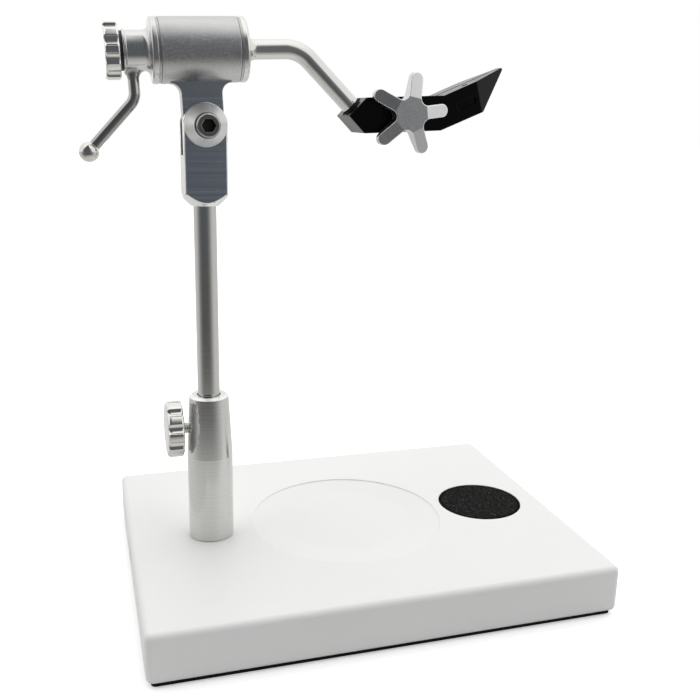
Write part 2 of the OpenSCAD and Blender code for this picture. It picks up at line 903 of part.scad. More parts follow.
module handle_ball() {
    color("silver")
        head_frame()
            translate([-flange_out - handle_x, 0, axis_h])
                handle_end()
                    difference() {
                        translate([0, 0, handle_l])
                            sphere(d = ball_dia);
                        translate([0, 0, handle_l - ball_dia])
                            cylinder(h = ball_dia / 2 + ball_hole, d = handle_dia + 2 * fix_gap);
                    }
}

// Drag knob: draws the shaft back to stiffen the rotation

module drag_washer() {
    color("black")
        axis_frame()
            translate([0, 0, -hub_end - drag_washer_t])
                difference() {
                    cylinder(h = drag_washer_t, d = drag_washer_dia);
                    translate([0, 0, -over])
                        cylinder(h = drag_washer_t + 2 * over, d = stud_dia + 2 * run_gap);
                }
}

module drag_knob() {
    color("gainsboro")
        axis_frame()
            translate([0, 0, -knob_in])
                rotate([180, 0, 0])
                    fluted_knob(drag_dia, drag_t, stud_dia / 2 + fix_gap, drag_t / 2);
}

module drag_stud() {
    color("dimgray")
        axis_frame()
            translate([0, 0, -knob_in - drag_t / 2])
                bare_rod(knob_in + drag_t / 2 - shaft_end + stud_in, stud_dia / 2);
}

// Jaws: the front jaw carries the arm in its heel, the rear jaw slides on two dowels

module jaw_outline() {
    polygon([heel, heel_top, rise_start, tip_on_top, tip_on_nose, nose_foot, under_start, heel_low]);
}

// The part of the jaws' outline that lies between two distances along the rotary axis.
module jaw_stretch(x0, x1) {
    intersection() {
        jaw_outline();
        translate([x0, jaw_low - over])
            square([x1 - x0, jaw_h + tip_rise + 2 * over]);
    }
}

// The wedge that bevels the front of the nose down to the tip.
module nose_bevel() {
    reach = 3 * jaw_t;
    translate([bevel_at[0], -jaw_front, bevel_at[1]])
        rotate([0, -bevel_lean, 0])
            rotate([0, 0, bevel_angle])
                translate([0, -reach, -reach])
                    cube([reach, reach, 2 * reach]);
}

// The small blind hole in the front jaw's top, square to its rising edge.
module top_hole() {
    translate([heel[0] + top_hole_x, -top_hole_y, jaw_top + (top_hole_x - jaw_flat) * tan(rise_angle)])
        rotate([0, -rise_angle, 0])
            translate([0, 0, -top_hole_depth])
                cylinder(h = top_hole_depth + over, d = top_hole_dia);
}

// The shallow groove in the front jaw's side, along its rising edge.
module side_groove() {
    plate_xz(-jaw_front - over, groove_depth - jaw_front)
        translate([heel[0] + groove_x, jaw_mid + groove_rise])
            rotate(rise_angle) {
                square([groove_l, groove_w], center = true);
                for (s = [-1, 1])
                    translate([s * groove_l / 2, 0])
                        circle(groove_w / 2);
            }
}

module front_jaw() {
    color("dimgray")
        head_frame()
            difference() {
                union() {
                    plate_xz(-jaw_front, -jaw_gap / 2)
                        jaw_outline();
                    plate_xz(-jaw_gap / 2, jaw_front)
                        jaw_stretch(heel[0], seam_x);
                    plate_xz(-jaw_gap / 2, -nose_gap / 2)
                        jaw_stretch(nose_pad_x, tip[0]);
                }
                nose_bevel();
                top_hole();
                side_groove();
                translate([heel_mid[0], 0, heel_mid[1]])
                    rotate([0, 90 + arm_angle, 0])
                        translate([0, 0, -jaw_h])
                            cylinder(h = jaw_h + arm_seat + run_gap, r = arm_r + run_gap);
                rod_y(grub_heel_at, 0, jaw_t, grub_dia / 2 + fix_gap);
                rod_y(screw_at, -jaw_t, 0, screw_dia / 2 + run_gap);
                rod_y(screw_at, -collar_in, 0, collar_dia / 2 + run_gap);
                for (x = dowel_at)
                    rod_y([x, jaw_mid], -dowel_front, 0, dowel_dia / 2 + fix_gap);
            }
}

module rear_jaw() {
    color("dimgray")
        head_frame()
            difference() {
                union() {
                    plate_xz(jaw_gap / 2, jaw_front)
                        jaw_stretch(seam_x + pass_gap, tip[0]);
                    plate_xz(nose_gap / 2, jaw_gap / 2)
                        jaw_stretch(nose_pad_x, tip[0]);
                }
                mirror([0, 1, 0])
                    nose_bevel();
                rod_y(screw_at, 0, jaw_t, screw_dia / 2 + run_gap);
                for (x = dowel_at)
                    rod_y([x, jaw_mid], 0, dowel_front, dowel_dia / 2 + run_gap);
            }
}

module heel_grub_screw() {
    color("black")
        head_frame()
            translate([grub_heel_at[0], jaw_front - pass_gap, grub_heel_at[1]])
                rotate([-90, 0, 0])
                    grub_screw(grub_heel_l);
}

module guide_dowels() {
    color("silver")
        head_frame()
            for (x = dowel_at)
                rod_y([x, jaw_mid], -dowel_front, dowel_back, dowel_dia / 2);
}

// Star knob: turns the draw screw that opens and closes the jaws

module star_washer() {
    color("dimgray")
        head_frame()
            difference() {
                rod_y(screw_at, -jaw_front - star_washer_t, -jaw_front, star_washer_dia / 2);
                rod_y(screw_at, -2 * jaw_t, 0, screw_dia / 2 + run_gap);
            }
}

// Fingers with round tips, joined by hollow fillets, centred on 0.
module star_outline() {
    half_w = finger_w / 2;
    half_step = 180 / fingers;
    fillet_at = (half_w + finger_fillet) / sin(half_step);
    web = fillet_at * cos(half_step);
    for (k = [0 : fingers - 1])
        rotate(k * 2 * half_step) {
            translate([0, -half_w])
                square([star_dia / 2 - half_w, finger_w]);
            translate([star_dia / 2 - half_w, 0])
                circle(half_w);
            difference() {
                polygon([
                    [0, 0],
                    [web, half_w],
                    web * [cos(2 * half_step), sin(2 * half_step)] + half_w * [sin(2 * half_step), -cos(2 * half_step)],
                ]);
                rotate(half_step)
                    translate([fillet_at, 0])
                        circle(finger_fillet + cross_cut);
            }
        }
}

module star_knob() {
    star_r = star_dia / 2;
    flat_r = star_flat_dia / 2;
    color("darkgray")
        head_frame()
            translate([screw_at[0], -star_back, screw_at[1]])
                rotate([90, 0, 0])
                    difference() {
                        intersection() {
                            rotate(star_turn)
                                linear_extrude(star_t)
                                    star_outline();
                            rotate_extrude()
                                polygon([
                                    [0, 0],
                                    [flat_r, 0],
                                    [star_r + over, tip_set_back],
                                    [star_r + over, star_t - tip_set_front],
                                    [flat_r, star_t],
                                    [0, star_t],
                                ]);
                        }
                        translate([0, 0, -over])
                            cylinder(h = star_bore + over, d = screw_dia + 2 * fix_gap);
                    }
}

module draw_screw() {
    color("silver")
        head_frame()
            rod_y(screw_at, -star_back - star_bore, jaw_front - pass_gap, screw_dia / 2);
}

module screw_collar() {
    color("dimgray")
        head_frame()
            difference() {
                rod_y(screw_at, -jaw_gap / 2 - collar_t - run_gap, -jaw_gap / 2 - run_gap, collar_dia / 2);
                rod_y(screw_at, -jaw_t, 0, screw_dia / 2 + fix_gap);
            }
}

base_plate();
base_pad();
foam_disc();
post_sleeve();
post_bolt();
lock_knob();
lock_screw();
stem_bush();
stem_rod();
stem_head();
pivot_washer();
pivot_bolt();
head_housing();
front_bush();
rear_bush();
arm_shaft();
front_thrust_washer();
rear_thrust_washer();
rear_hub();
hub_grub_screw();
handle_rod();
handle_ball();
drag_washer();
drag_knob();
drag_stud();
front_jaw();
heel_grub_screw();
guide_dowels();
rear_jaw();
star_washer();
star_knob();
draw_screw();
screw_collar();
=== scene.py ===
from math import cos, pi, radians, sin

import bmesh
import bpy
import numpy as np
from mathutils import Matrix
from mathutils.geometry import delaunay_2d_cdt


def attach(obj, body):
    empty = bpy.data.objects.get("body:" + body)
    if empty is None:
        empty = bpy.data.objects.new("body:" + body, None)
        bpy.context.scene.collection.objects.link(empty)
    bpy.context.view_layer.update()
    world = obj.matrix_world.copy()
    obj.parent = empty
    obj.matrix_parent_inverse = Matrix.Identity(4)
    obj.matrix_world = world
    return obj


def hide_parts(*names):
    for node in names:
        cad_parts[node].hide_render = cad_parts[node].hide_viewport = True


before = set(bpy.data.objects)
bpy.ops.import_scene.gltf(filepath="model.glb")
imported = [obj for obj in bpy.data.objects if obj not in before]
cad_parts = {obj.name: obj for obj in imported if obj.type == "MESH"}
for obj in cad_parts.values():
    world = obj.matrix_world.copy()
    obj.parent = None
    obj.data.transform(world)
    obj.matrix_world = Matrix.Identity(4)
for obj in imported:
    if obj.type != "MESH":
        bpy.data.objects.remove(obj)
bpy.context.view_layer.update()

mm, scene = 0.001, bpy.context.scene

# Camera. It stands in front of the post and a little to its left, level with the rotary head, and
# looks down past the jaws at the middle of the base.
camera_at = np.array([-115.998, -370.942, 210.20]) * mm
camera_yaw, camera_pitch, camera_roll = radians(17.36), radians(14.998), radians(1.263)
focal_px, frame_px, sensor = 879.45, 700, 36.0

look = np.array([
    sin(camera_yaw) * cos(camera_pitch), cos(camera_yaw) * cos(camera_pitch), -sin(camera_pitch)])
level = np.array([cos(camera_yaw), -sin(camera_yaw), 0])
upright = np.cross(level, look)
right = cos(camera_roll) * level + sin(camera_roll) * upright
up = cos(camera_roll) * upright - sin(camera_roll) * level
camera_data = bpy.data.cameras.new("camera")
camera_data.sensor_width = sensor
camera_data.lens = focal_px * sensor / frame_px
camera = bpy.data.objects.new("camera", camera_data)
turn = Matrix(np.column_stack([right, up, -look]).tolist()).to_4x4()
camera.matrix_world = Matrix.Translation(camera_at) @ turn
scene.collection.objects.link(camera)
scene.camera = camera

# Studio. A pale sweep of floor under a soft white tent. The tent's front is left darker round the
# camera, so that polished metal shows a dark band down its middle. Past the base, on that side, the
# floor is painted dark, a painted shade that only reflected and bounced rays see; the camera sees
# the floor white and faintly glowing.
floor_reach = 6.0
floor_seen, floor_bright = (1, 1, 1, 1), (0.76, 0.76, 0.755, 1)
floor_dark, floor_far, floor_glow = (0.125, 0.124, 0.122, 1), (0.122, 0.141, 0.172, 1), 0.3
backdrop, tent_top = (1, 1, 1, 1), (1.42, 1.42, 1.40, 1)
tent_white, tent_dark = (1.12, 1.12, 1.105, 1), (0.116, 0.124, 0.137, 1)
dark_side = (-0.375, -0.927, 0.0)
dark_edge, dark_full = -0.15, 0.97
dark_top, dark_low, dark_lean = 1.44, 0.94, 2.5
top_start, top_full = 0.55, 0.98
shade_from = (-64.8, 0, 0)
shade_start, shade_full, far_start, far_full = 60.0, 390.0, 700.0, 2000.0

scene.view_settings.view_transform = "Standard"


def set_inputs(node, **values):
    """Sets a shader node's inputs; an underscore in a name stands for a space."""
    for key, value in values.items():
        node.inputs[key.replace("_", " ")].default_value = value
    return node


def add_node(tree, kind, **values):
    """A new shader node with its inputs set."""
    return set_inputs(tree.nodes.new(kind), **values)


def fade(tree, source, start, end):
    """A smooth step of a value from 0 at start to 1 at end."""
    step = add_node(tree, "ShaderNodeMapRange", From_Min=start, From_Max=end)
    step.interpolation_type = "SMOOTHSTEP"
    tree.links.new(source, step.inputs["Value"])
    return step.outputs["Result"]


def feed(tree, socket, value):
    """Puts a value on a socket: a link from another socket, or a fixed number, vector or colour."""
    if isinstance(value, bpy.types.NodeSocket):
        tree.links.new(value, socket)
    else:
        socket.default_value = value


def maths(tree, operation, first, second, kind="ShaderNodeMath"):
    """One arithmetic step on two values, each a socket or a number."""
    step = tree.nodes.new(kind)
    step.operation = operation
    feed(tree, step.inputs[0], first)
    feed(tree, step.inputs[1], second)
    return step.outputs


def mixed(tree, share, first, second):
    """A blend of two colours, each a socket or a fixed colour, by a share from 0 to 1."""
    blend = tree.nodes.new("ShaderNodeMix")
    blend.data_type = "RGBA"
    feed(tree, blend.inputs[0], share)
    feed(tree, blend.inputs[6], first)
    feed(tree, blend.inputs[7], second)
    return blend.outputs[2]


def facing_dark(tree, direction):
    """The cosine between a direction's level part and the dark side."""
    flat = maths(tree, "MULTIPLY", direction, (1, 1, 0), "ShaderNodeVectorMath")[0]
    heading = maths(tree, "NORMALIZE", flat, (0, 0, 0), "ShaderNodeVectorMath")[0]
    return maths(tree, "DOT_PRODUCT", heading, dark_side, "ShaderNodeVectorMath")[1]


tent = bpy.data.worlds.new("tent")
tent.use_nodes = True
scene.world = tent
tree = tent.node_tree
direction = tree.nodes.new("ShaderNodeTexCoord").outputs["Generated"]
height = tree.nodes.new("ShaderNodeSeparateXYZ")
tree.links.new(direction, height.inputs[0])
facing = facing_dark(tree, direction)
turned_away = maths(tree, "MULTIPLY", maths(tree, "SUBTRACT", 1.0, facing)[0], dark_lean)[0]
low = fade(tree, maths(tree, "ADD", height.outputs["Z"], turned_away)[0], dark_top, dark_low)
shade = maths(tree, "MULTIPLY", fade(tree, facing, dark_edge, dark_full), low)[0]
white = mixed(tree, fade(tree, height.outputs["Z"], top_start, top_full), tent_white, tent_top)
seen = tree.nodes.new("ShaderNodeLightPath").outputs["Is Camera Ray"]
lit = mixed(tree, seen, mixed(tree, shade, white, tent_dark), backdrop)
tree.links.new(lit, tree.nodes["Background"].inputs["Color"])


def own_place(tree):
    """A point's place in its piece's own coordinates."""
    return tree.nodes.new("ShaderNodeTexCoord").outputs["Object"]


def new_finish(name):
    """A material with its node tree and its Principled shader."""
    made = bpy.data.materials.new(name)
    made.use_nodes = True
    return made, made.node_tree, made.node_tree.nodes["Principled BSDF"]


def shaded(name, mesh, material, sharp=35.0):
    """An object of a mesh, shaded smooth but for edges sharper than an angle."""
    mesh.shade_smooth()
    mesh.set_sharp_from_angle(angle=radians(sharp))
    mesh.materials.append(material)
    piece = bpy.data.objects.new(name, mesh)
    scene.collection.objects.link(piece)
    return piece


def show(name, vertices, faces, material):
    """An object from an array of points in millimetres and a list of faces, shaded smooth."""
    mesh = bpy.data.meshes.new(name)
    mesh.from_pydata((np.asarray(vertices) * mm).tolist(), [], faces)
    work = bmesh.new()
    work.from_mesh(mesh)
    bmesh.ops.remove_doubles(work, verts=work.verts, dist=1e-7)
    bmesh.ops.recalc_face_normals(work, faces=work.faces)
    work.to_mesh(mesh)
    work.free()
    return shaded(name, mesh, material)


floor_paper, tree, shader = new_finish("floor_paper")
away = maths(
    tree, "SUBTRACT", own_place(tree), np.array(shade_from) * mm, "ShaderNodeVectorMath")[0]
distance = maths(tree, "LENGTH", away, (0, 0, 0), "ShaderNodeVectorMath")[1]
past_base = fade(tree, distance, shade_start * mm, shade_full * mm)
front = fade(tree, facing_dark(tree, away), dark_edge, dark_full)
in_shade = maths(tree, "MULTIPLY", front, past_base)[0]
# Painted shade: past the base on the dark side the floor turns dark for rays other than the
# camera's.
dark = mixed(tree, fade(tree, distance, far_start * mm, far_full * mm), floor_dark, floor_far)
seen = tree.nodes.new("ShaderNodeLightPath").outputs["Is Camera Ray"]
paper = mixed(tree, seen, mixed(tree, in_shade, floor_bright, dark), floor_seen)
tree.links.new(paper, shader.inputs["Base Color"])
tree.links.new(seen, shader.inputs["Emission Color"])
set_inputs(shader, Emission_Strength=floor_glow, Roughness=0.9, Specular_IOR_Level=0.0)
reach = floor_reach / mm
corners = reach * np.array([[-1, -1, 0], [1, -1, 0], [1, 1, 0], [-1, 1, 0]])
floor = show("floor", corners, [[0, 1, 2, 3]], floor_paper)

# Base plate. A heavy steel plate, milled flat, with a round tray and a recess for the foam sunk in
# its top and a tapped hole in its left face, finished with a fine white powder coat.
base_l, base_d, base_t, pad_t = 202.4, 156.0, 21.2, 1.8
corner_r, edge_r, rim_lead, rim_land = 3.0, 2.5, 2.9, 0.6
base_top = pad_t + base_t
tray_r, tray_depth, tray_step, tray_slope = 44.8, 1.5, 0.45, 14.0
tray_lip_r, tray_root_r, tray_dish_r = 0.22, 0.2, 40.0
foam_x, foam_r, foam_t, foam_room = 70.0, 20.4, 4.0, 0.05
recess_r, recess_lip_r, recess_root_r = foam_r + foam_room, 0.3, 0.2
hole_y, hole_z, hole_r, hole_depth = 6.0, pad_t + base_t / 2, 3.25, 16.0
hole_pitch, hole_thread, hole_sink, hole_lead, hole_end = 1.25, 0.45, 0.12, 0.9, 1.2
coat_low, coat_high = (0.845, 0.845, 0.838), (0.885, 0.885, 0.880)


def eased_profile(points, radii, steps=7, lead=0.03):
    """A profile with rounded corners: at each corner the arc starts and ends r * tan(half the turn)
    from it and turns evenly; a short lead before and after keeps the flats beside it flat."""
    points, radii = np.asarray(points, float), np.asarray(radii, float)[:, None]
    before = points[1:-1] - points[:-2]
    after = points[2:] - points[1:-1]
    before /= np.linalg.norm(before, axis=1, keepdims=True)
    after /= np.linalg.norm(after, axis=1, keepdims=True)
    turn = np.arctan2(
        before[:, 0] * after[:, 1] - before[:, 1] * after[:, 0], (before * after).sum(1))[:, None]
    inward = np.stack([-before[:, 1], before[:, 0]], 1) * np.sign(turn)
    start = points[1:-1] - before * radii * np.tan(np.abs(turn) / 2)
    angle = np.abs(turn) * np.linspace(0, 1, steps)
    arc = (start[:, None] + (radii * np.sin(angle))[..., None] * before[:, None]
           + (radii * (1 - np.cos(angle)))[..., None] * inward[:, None])
    arc = np.concatenate(
        [arc[:, :1] - lead * before[:, None], arc, arc[:, -1:] + lead * after[:, None]], 1)
    return np.concatenate([points[:1], arc.reshape(-1, 2), points[-1:]])


def grid_faces(rows, cols, start=0, close_rows=False):
    """Quads between neighbouring points of a grid whose columns close into rings."""
    index = start + np.arange(rows * cols).reshape(rows, cols)
    lower = index if close_rows else index[:-1]
    upper = np.roll(index, -1, 0) if close_rows else index[1:]
    quads = np.stack([lower, np.roll(lower, -1, 1), np.roll(upper, -1, 1), upper], -1)
    return quads.reshape(-1, 4).tolist()


def show_grid(name, grid, material):
    """A piece from a grid of points whose columns close into rings."""
    return show(name, grid.reshape(-1, 3), grid_faces(*grid.shape[:2]), material)


def plate_rings(length, depth, corner, profile, steps=14):
    """Rings of a plate: the profile's (inset, height) pairs carried round a rectangle whose corners
    are quarter circles, each ring keeping the corners' centres."""
    quarter = np.linspace(0, pi / 2, steps)
    angle = (np.arange(4)[:, None] * pi / 2 + quarter).ravel()
    side = np.repeat([[1, 1], [-1, 1], [-1, -1], [1, -1]], steps, 0)
    centre = side * np.array([length / 2 - corner, depth / 2 - corner])
    radius = (corner - profile[:, 0])[:, None]
    return np.stack([
        centre[:, 0] + radius * np.cos(angle), centre[:, 1] + radius * np.sin(angle),
        np.repeat(profile[:, 1:], len(angle), 1)], -1)


def full_turn(cols):
    """Even angles round a full turn."""
    return np.linspace(0, 2 * pi, cols, endpoint=False)


def disc_rings(centre, profile, cols=160):
    """Rings about an upright axis: the profile's (radius, height) pairs carried round it."""
    angle = full_turn(cols)
    return np.stack([
        centre[0] + profile[:, :1] * np.cos(angle), centre[1] + profile[:, :1] * np.sin(angle),
        np.repeat(profile[:, 1:], cols, 1)], -1)


def fill_between(loops, plane, start_of):
    """Triangles of a flat area between an outer loop and the holes in it, held to the loops; plane
    picks two coordinates, start_of numbers each loop's first point."""
    flat = np.concatenate([loop[:, plane] for loop in loops])
    number = np.concatenate([start + np.arange(len(loop)) for loop, start in zip(loops, start_of)])
    ends = np.cumsum([0] + [len(loop) for loop in loops])
    edges = [(a, b) for s, e in zip(ends[:-1], ends[1:])
             for a, b in zip(range(s, e), [*range(s + 1, e), s])]
    result = delaunay_2d_cdt(flat.tolist(), edges, [], 1, 1e-6)
    origin = np.array([first[0] for first in result[3]])
    triangles = origin[np.array(result[2])]
    loop_of = np.searchsorted(ends, triangles, "right") - 1
    in_hole = (loop_of == loop_of[:, :1]).all(1) & (loop_of[:, 0] > 0)
    return number[triangles[~in_hole]].tolist()


def tapped_hole(point, cols=72, pitch_steps=10):
    """A tapped hole along +X: a countersunk mouth, then rings whose radius follows a thread's wave
    of the depth less the angle, and a cone at the end."""
    angle = full_turn(cols)
    along = np.arange(hole_lead, hole_depth - hole_end, hole_pitch / pitch_steps)
    wave = np.abs(((along[:, None] / hole_pitch - angle / (2 * pi)) % 1) * 2 - 1)
    crest = hole_r - hole_sink
    rings = np.concatenate([np.full((1, cols), hole_r), np.full((1, cols), crest),
                            crest - hole_thread * wave, np.zeros((1, cols))])
    depths = np.concatenate([[0, hole_lead / 2], along, [hole_depth]])[:, None]
    return np.stack([point[0] + depths + 0 * angle, point[1] + rings * np.cos(angle),
                     point[2] + rings * np.sin(angle)], -1)


def texture(tree, place=None, kind="ShaderNodeTexNoise", **values):
    """A procedural texture's outputs, on the piece's own coordinates unless a place is given."""
    made = add_node(tree, kind, **values)
    tree.links.new(own_place(tree) if place is None else place, made.inputs["Vector"])
    return made.outputs


def toned(tree, source, low, high, start=0.0, end=1.0):
    """A colour that runs from low to high as a value runs from start to end."""
    tone = tree.nodes.new("ShaderNodeValToRGB")
    for stop, position, colour in zip(tone.color_ramp.elements, (start, end), (low, high)):
        stop.position, stop.color = position, (*colour, 1)
    tree.links.new(source, tone.inputs["Fac"])
    return tone.outputs["Color"]


def glossed(tree, shader, source, smooth, rough, start=0.0, end=1.0):
    """Roughness that runs from smooth to rough as a value runs from start to end."""
    gloss = add_node(
        tree, "ShaderNodeMapRange", From_Min=start, From_Max=end, To_Min=smooth, To_Max=rough)
    tree.links.new(source, gloss.inputs["Value"])
    tree.links.new(gloss.outputs["Result"], shader.inputs["Roughness"])


def bumped(tree, shader, source, strength, distance):
    """A bump from a value on the shader's normal."""
    bump = add_node(tree, "ShaderNodeBump", Strength=strength, Distance=distance)
    tree.links.new(source, bump.inputs["Height"])
    tree.links.new(bump.outputs["Normal"], shader.inputs["Normal"])


def stand_for(piece, body, slot, *nodes):
    """The piece moves with a body and stands for CAD nodes; the slot is not used."""
    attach(piece, body)
    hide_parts(*nodes)


white_coat, tree, shader = new_finish("white_powder_coat")
peel = texture(tree, Scale=1400.0, Detail=3.0, Roughness=0.55)["Fac"]
cloud = texture(tree, Scale=22.0, Detail=4.0, Roughness=0.6)["Fac"]
tree.links.new(toned(tree, cloud, coat_low, coat_high), shader.inputs["Base Color"])
glossed(tree, shader, peel, smooth=0.38, rough=0.52)
bumped(tree, shader, peel, strength=0.22, distance=0.00006)
set_inputs(shader, IOR=1.5)

rim = plate_rings(base_l, base_d, corner_r, eased_profile(
    [[rim_lead, pad_t], [0, pad_t], [0, base_top], [rim_lead, base_top]], [edge_r, edge_r]))
tray = disc_rings((0, 0), eased_profile(
    [[tray_r + rim_land, base_top], [tray_r, base_top], [tray_r, base_top - tray_step],
     [tray_r - tray_slope, base_top - tray_depth], [0, base_top - tray_depth]],
    [tray_lip_r, tray_root_r, tray_dish_r]))
recess = disc_rings((foam_x, 0), eased_profile(
    [[recess_r + rim_land, base_top], [recess_r, base_top], [recess_r, base_top - foam_t],
     [0, base_top - foam_t]], [recess_lip_r, recess_root_r]))
hole = tapped_hole((-base_l / 2, hole_y, hole_z))
parts = [rim, tray, recess, hole]
starts = np.cumsum([0] + [part.shape[0] * part.shape[1] for part in parts])
faces = sum((grid_faces(*part.shape[:2], start) for part, start in zip(parts, starts)), [])
rows, cols = rim.shape[:2]
side_row = int(np.argmax(np.diff(rim[:, 0, 2])))
left_index = faces.pop(side_row * cols + cols // 2 - 1)
points = np.concatenate([part.reshape(-1, 3) for part in parts])
faces += fill_between([rim[-1], tray[0], recess[0]], [0, 1],
                      [starts[0] + (rows - 1) * cols, starts[1], starts[2]])
faces += [[left_index[int(i)] if i < 4 else int(starts[3] + i - 4) for i in triangle]
          for triangle in fill_between([points[left_index], hole[0]], [1, 2], [0, 4])]
faces.append(list(range(cols)))
base_plate = show("base_plate_coated", points, faces, white_coat)
stand_for(base_plate, "base", "powder_coat", "base_plate")

# Rubber sheet. A black sheet cut to the plate's outline and glued under it, a little smaller than
# the plate, so that only its edge shows as a dark line along the table.
pad_inset, pad_corner, pad_lead, pad_round = 2.0, 2.0, 1.5, 0.3
rubber_and_shade_low, rubber_and_shade_high = (0.002, 0.002, 0.002), (0.012, 0.012, 0.012)

# The rubber's black also colours the bead round the arm at the heel, a painted shade.
rubber_and_heel_shade, tree, shader = new_finish("rubber_and_heel_shade")
crumb = texture(tree, Scale=2600.0, Detail=2.0)["Fac"]
tree.links.new(toned(tree, crumb, rubber_and_shade_low, rubber_and_shade_high), shader.inputs["Base Color"])
bumped(tree, shader, crumb, strength=0.4, distance=0.00005)
set_inputs(shader, Roughness=0.78, Specular_IOR_Level=0.2)

edge = plate_rings(base_l - 2 * pad_inset, base_d - 2 * pad_inset, pad_corner, eased_profile(
    [[pad_lead, 0], [0, 0], [0, pad_t], [pad_lead, pad_t]], [pad_round, pad_round]))
rows, cols = edge.shape[:2]
faces = grid_faces(rows, cols) + [list(range(cols)), list(range((rows - 1) * cols, rows * cols))]
pad = show("rubber_sheet_cut", edge.reshape(-1, 3), faces, rubber_and_heel_shade)
stand_for(pad, "base", "rubber_sheet", "base_pad")

# Foam disc. A disc punched from fine black foam and pressed into its recess, flush with the plate;
# hooks are stuck into it, and its cut cells show as a fine grey speckle. Towards its rim it is
# painted plain black, a painted shade where the recess wall meets it.
foam_edge, foam_root_r, foam_sink, foam_eye_r, foam_rings = 0.5, 0.3, 0.08, 0.15, 90
foam_cell, cell_count, dent_depth, dent_lift, dent_bias = 0.6, 72, 0.12, 0.06, 3
rim_dark_in, rim_dark_out = 2.2, 0.8
foam_black, foam_grey = (0.002, 0.002, 0.002), (0.040, 0.040, 0.039)
foam_speck, foam_rim_shade = (0.11, 0.11, 0.108, 1), (0.001, 0.001, 0.001, 1)

cell_foam, tree, shader = new_finish("cell_foam")
cells = texture(tree, kind="ShaderNodeTexVoronoi", Scale=1500.0, Randomness=1.0)["Distance"]
specks = texture(tree, kind="ShaderNodeTexVoronoi", Scale=480.0, Randomness=1.0)["Distance"]
flecks = texture(tree, Scale=800.0, Detail=5.0, Roughness=0.8)["Fac"]
foam_at = (foam_x * mm, 0, base_top * mm)
out = maths(tree, "SUBTRACT", own_place(tree), foam_at, "ShaderNodeVectorMath")[0]
from_middle = maths(tree, "LENGTH", out, (0, 0, 0), "ShaderNodeVectorMath")[1]
# A band inside the rim is painted plain black without specks: painted shade beside the recess wall.
rim_shade_share = fade(tree, from_middle, (foam_r - rim_dark_in) * mm, (foam_r - rim_dark_out) * mm)
tone = toned(tree, flecks, foam_black, foam_grey, start=0.42, end=0.74)
flecked = mixed(tree, fade(tree, specks, start=0.17, end=0.12), tone, foam_speck)
tree.links.new(mixed(tree, rim_shade_share, flecked, foam_rim_shade), shader.inputs["Base Color"])
bumped(tree, shader, cells, strength=0.8, distance=0.0002)
set_inputs(shader, Roughness=0.92, Specular_IOR_Level=0.08)

foam_top = base_top - foam_sink
disc_profile = eased_profile(
    [[0, base_top - foam_t], [foam_r, base_top - foam_t], [foam_r, foam_top], [0, foam_top]],
    [foam_root_r, foam_edge])
top_r = np.linspace(disc_profile[-2, 0], foam_eye_r, foam_rings)[1:, None]
disc_profile = np.concatenate([disc_profile[:-1], np.hstack([top_r, 0 * top_r + foam_top])])
disc = disc_rings((foam_x, 0), disc_profile, cols=220)
chance = np.random.default_rng(seed=7).random((cell_count, cell_count))
cell_dents = chance ** dent_bias * dent_depth
on_top = disc[-len(top_r):]
cell = np.floor((on_top[..., :2] - [foam_x, 0]) / foam_cell).astype(int) + cell_count // 2
on_top[..., 2] += dent_lift - cell_dents[cell[..., 0], cell[..., 1]]
rows, cols = disc.shape[:2]
faces = grid_faces(rows, cols) + [list(range((rows - 1) * cols, rows * cols))]
foam = show("foam_disc_punched", disc.reshape(-1, 3), faces, cell_foam)
stand_for(foam, "base", "foam", "foam_disc")

# Post sleeve. Turned from bright aluminium bar: a straight foot, a long taper and a faced mouth. A
# bolt from below holds it on the plate, and a black liner in its mouth guides the stem.
post_x = -64.8
sleeve_r, sleeve_top_r, sleeve_top, taper_z = 10.0, 8.6, 90.0, 62.0
foot_gap, foot_wall, foot_relief, relief_h = 0.02, 2.0, 0.45, 0.3
bore_r, bore_foot, bush_r, bush_l, bush_sink = 5.0, 6.0, 6.25, 10.0, 0.6
mouth_r, lip_t, chamfer_h, chamfer_w = 5.15, 0.55, 1.0, 1.3
chamfer_least, chamfer_most = 0.3, 0.97
sleeve_rounds = [0.2, 0.05, 0.05, 0.1, 0.4, 0.15, 0.3, 0.2, 0.1, 0.1, 0.1, 0.1, 0.1]


def lathe_marks_group():
    """Turning marks about any axis: noise on the distance along it gives the rings, a broad cloud
    gives the haze of handling, and a fine noise the grain of a blasted or tumbled skin."""
    group = bpy.data.node_groups.new("lathe_marks", "ShaderNodeTree")
    for name, kind in (("Point", "Vector"), ("Axis", "Vector"), ("Rings per metre", "Float")):
        group.interface.new_socket(name, in_out="INPUT", socket_type="NodeSocket" + kind)
    for name in ("Marks", "Haze", "Grain"):
        group.interface.new_socket(name, in_out="OUTPUT", socket_type="NodeSocketFloat")
    given = group.nodes.new("NodeGroupInput")
    result = group.nodes.new("NodeGroupOutput")
    here = own_place(group)
    offset = maths(group, "SUBTRACT", here, given.outputs["Point"], "ShaderNodeVectorMath")[0]
    along = maths(group, "DOT_PRODUCT", offset, given.outputs["Axis"], "ShaderNodeVectorMath")[1]
    rings = add_node(group, "ShaderNodeTexNoise", Scale=1.0, Detail=4.0, Roughness=0.75)
    rings.noise_dimensions = "1D"
    spread = maths(group, "MULTIPLY", along, given.outputs["Rings per metre"])[0]
    group.links.new(spread, rings.inputs["W"])
    cloud = texture(group, here, Scale=70.0, Detail=5.0, Roughness=0.65)["Fac"]
    pits = texture(group, here, Scale=1500.0, Detail=3.0, Roughness=0.6)["Fac"]
    group.links.new(fade(group, pits, start=0.3, end=0.7), result.inputs["Grain"])
    group.links.new(rings.outputs["Fac"], result.inputs["Marks"])
    group.links.new(cloud, result.inputs["Haze"])
    return group


lathe_marks = lathe_marks_group()


